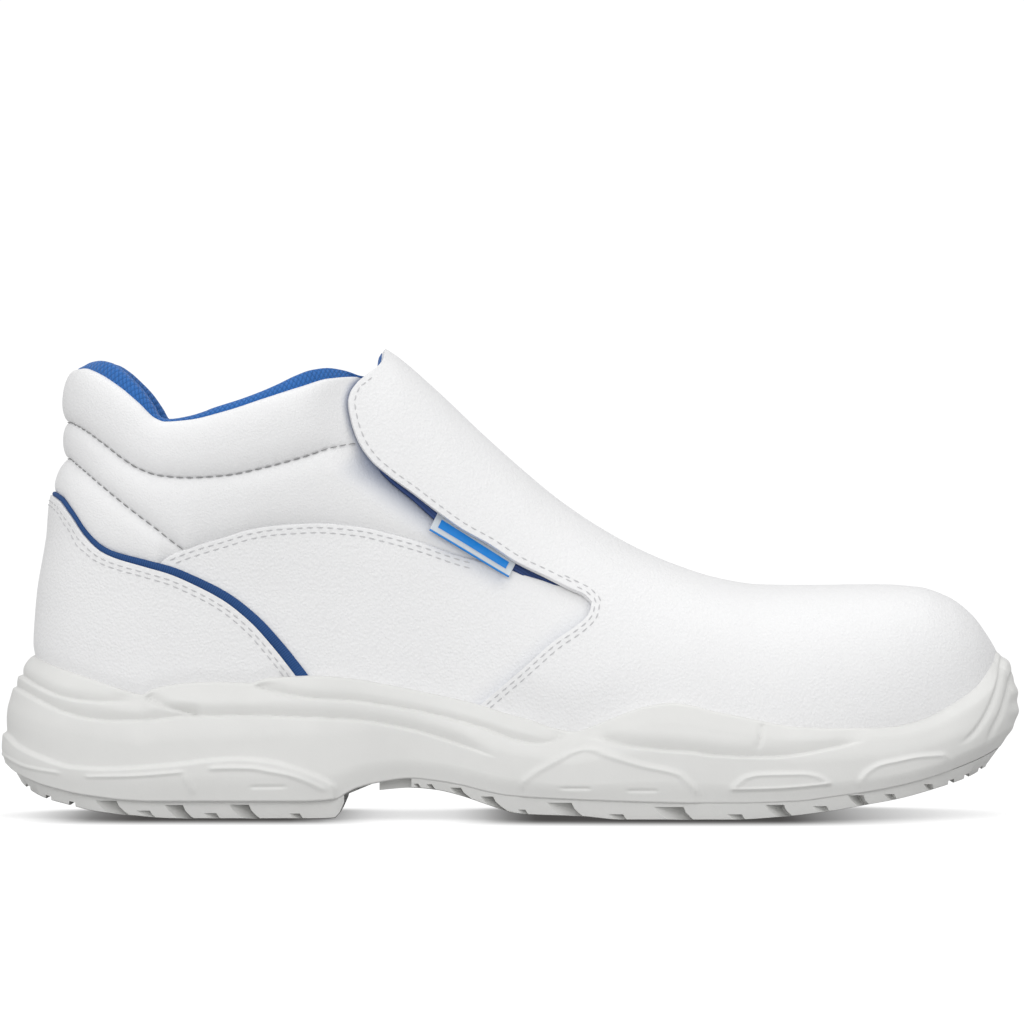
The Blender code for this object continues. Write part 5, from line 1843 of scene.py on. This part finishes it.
# How dark the painted shadow on the floor is along the sole, and how far from it
contact_line = line((-6, 0), (8, 0.12), (17, 0.35), (30, 0.8), (45, 0.95), (85, 0.95), (95, 0.8), (103, 0.45),
                    (112, 0.14), (122, 0.05), (133, 0.08), (142, 0.32), (152, 0.75), (162, 0.95), (232, 0.95),
                    (246, 0.72), (258, 0.45), (270, 0.24), (284, 0.09), (302, 0))
CONTACT_REACH, FAR_SIDE = 54.0, 2.0
CONTACT_COUNT = 240


def contact_shade(points):
    """Return the painted shadow on the floor around the tread: how much light the tread would shut off,
    widest on the camera's side.
    """
    _, foot, out = tread_rings(CONTACT_COUNT)
    away = points[:, None, :2] - foot[None, :, :2]
    far = np.linalg.norm(away, axis=2)
    nearest = far.argmin(axis=1)
    row = np.arange(len(points))
    outside = np.sum(away[row, nearest] * out[nearest, :2], axis=1) > 0
    shrink = mix(1.0, FAR_SIDE, ease(0.5 + 0.5 * out[nearest, 1]))
    far = np.where(outside, far[row, nearest], 0) * shrink
    return contact_line(points[:, 0]) * (1 - ease(far / CONTACT_REACH))


def lay_floor():
    """Lay the pale floor with the painted shadow around the tread."""
    floor = laid_sheet("studio_floor", points_of(FLOOR_X[None, :], FLOOR_Y[:, None], 0.0))
    paint(floor, "contact", contact_shade)
    floor.data.materials.append(floor_material("pale studio floor", FLOOR_COLOUR, FLOOR_SHARE))


def set_lights():
    """Set up the surrounding white and the soft lights."""
    world = bpy.context.scene.world or bpy.data.worlds.new("studio")
    bpy.context.scene.world = world
    world.use_nodes = True
    tree = world.node_tree
    background = tree.nodes["Background"]
    seen = node(tree, "ShaderNodeLightPath").outputs["Is Camera Ray"]
    background.inputs["Color"].default_value = WHITE
    tree.links.new(map_range(tree, seen, 0.0, 1.0, AMBIENT, SEEN_AMBIENT), background.inputs["Strength"])
    for each in LIGHTS:
        bpy.ops.object.light_add(type="AREA", location=each.place)
        light = bpy.context.object
        light.name = each.name
        light.data.size = each.size
        light.data.energy = each.power
        light.rotation_euler = (-light.location).to_track_quat("-Z", "Y").to_euler()


def set_camera():
    """Set up the camera on the outer side of the boot."""
    bpy.ops.object.camera_add(location=((FOCUS_X - ORIGIN[0]) * MM, -VIEW_DISTANCE, FOCUS_Z * MM),
                              rotation=(math.pi / 2, 0, 0))
    camera = bpy.context.object
    camera.name = "studio_camera"
    camera.data.sensor_width = SENSOR
    camera.data.lens = SENSOR * VIEW_DISTANCE / (VIEW_WIDTH * MM)
    camera.data.clip_end = VIEW_END
    bpy.context.scene.camera = camera
    bpy.context.scene.view_settings.view_transform = "Standard"


# Operators
class BOOT_OT_sole(bpy.types.Operator):
    """Model the cup sole, the tread and the footbed"""

    bl_idname = "boot.sole"
    bl_label = "Sole"

    def execute(self, context):
        make_cup_sole()
        make_tread()
        make_footbed()
        return {"FINISHED"}


class BOOT_OT_panels(bpy.types.Operator):
    """Model the quarters, the vamp with its flap, and the heel overlay with its piping"""

    bl_idname = "boot.panels"
    bl_label = "Panels"

    def execute(self, context):
        make_quarters()
        make_vamp_and_flap()
        make_heel_counter()
        make_piping()
        return {"FINISHED"}


class BOOT_OT_collar(bpy.types.Operator):
    """Model the padded collar"""

    bl_idname = "boot.collar"
    bl_label = "Padded collar"

    def execute(self, context):
        make_padded_collar()
        return {"FINISHED"}


class BOOT_OT_linings(bpy.types.Operator):
    """Model the linings of collar, vamp and flap"""

    bl_idname = "boot.linings"
    bl_label = "Linings"

    def execute(self, context):
        make_collar_lining()
        make_vamp_lining()
        return {"FINISHED"}


class BOOT_OT_gusset(bpy.types.Operator):
    """Model the elastic gusset and the tab at the flap's edge"""

    bl_idname = "boot.gusset"
    bl_label = "Gusset and tab"

    def execute(self, context):
        make_gusset()
        make_tag()
        return {"FINISHED"}


class BOOT_OT_stitching(bpy.types.Operator):
    """Sew the rows of stitches"""

    bl_idname = "boot.stitching"
    bl_label = "Stitching"

    def execute(self, context):
        make_stitching()
        return {"FINISHED"}


class BOOT_OT_stage(bpy.types.Operator):
    """Set up the floor, the light and the camera"""

    bl_idname = "boot.stage"
    bl_label = "Stage"

    def execute(self, context):
        lay_floor()
        set_lights()
        set_camera()
        return {"FINISHED"}


OPERATORS = (BOOT_OT_stage, BOOT_OT_sole, BOOT_OT_panels, BOOT_OT_collar, BOOT_OT_linings, BOOT_OT_gusset,
             BOOT_OT_stitching)


class BOOT_PT_pieces(bpy.types.Panel):
    """List the boot's pieces, sizes and colours"""

    bl_idname = "BOOT_PT_pieces"
    bl_label = "Slip-on safety boot"
    bl_space_type = "VIEW_3D"
    bl_region_type = "UI"
    bl_category = "Boot"

    def draw(self, context):
        for group in (context.scene.boot_sizes, context.scene.boot_colours):
            for name in group.__annotations__:
                self.layout.prop(group, name)
        for operator in OPERATORS:
            self.layout.operator(operator.bl_idname)


CLASSES = (BootSizes, BootColours, *OPERATORS, BOOT_PT_pieces)


def register():
    for each in CLASSES:
        bpy.utils.register_class(each)
    bpy.types.Scene.boot_sizes = PointerProperty(type=BootSizes)
    bpy.types.Scene.boot_colours = PointerProperty(type=BootColours)


def unregister():
    del bpy.types.Scene.boot_colours
    del bpy.types.Scene.boot_sizes
    for each in reversed(CLASSES):
        bpy.utils.unregister_class(each)


def main():
    register()
    bpy.ops.boot.stage()
    bpy.ops.boot.sole()
    bpy.ops.boot.panels()
    bpy.ops.boot.collar()
    bpy.ops.boot.linings()
    bpy.ops.boot.gusset()
    bpy.ops.boot.stitching()


if __name__ == "__main__":
    main()
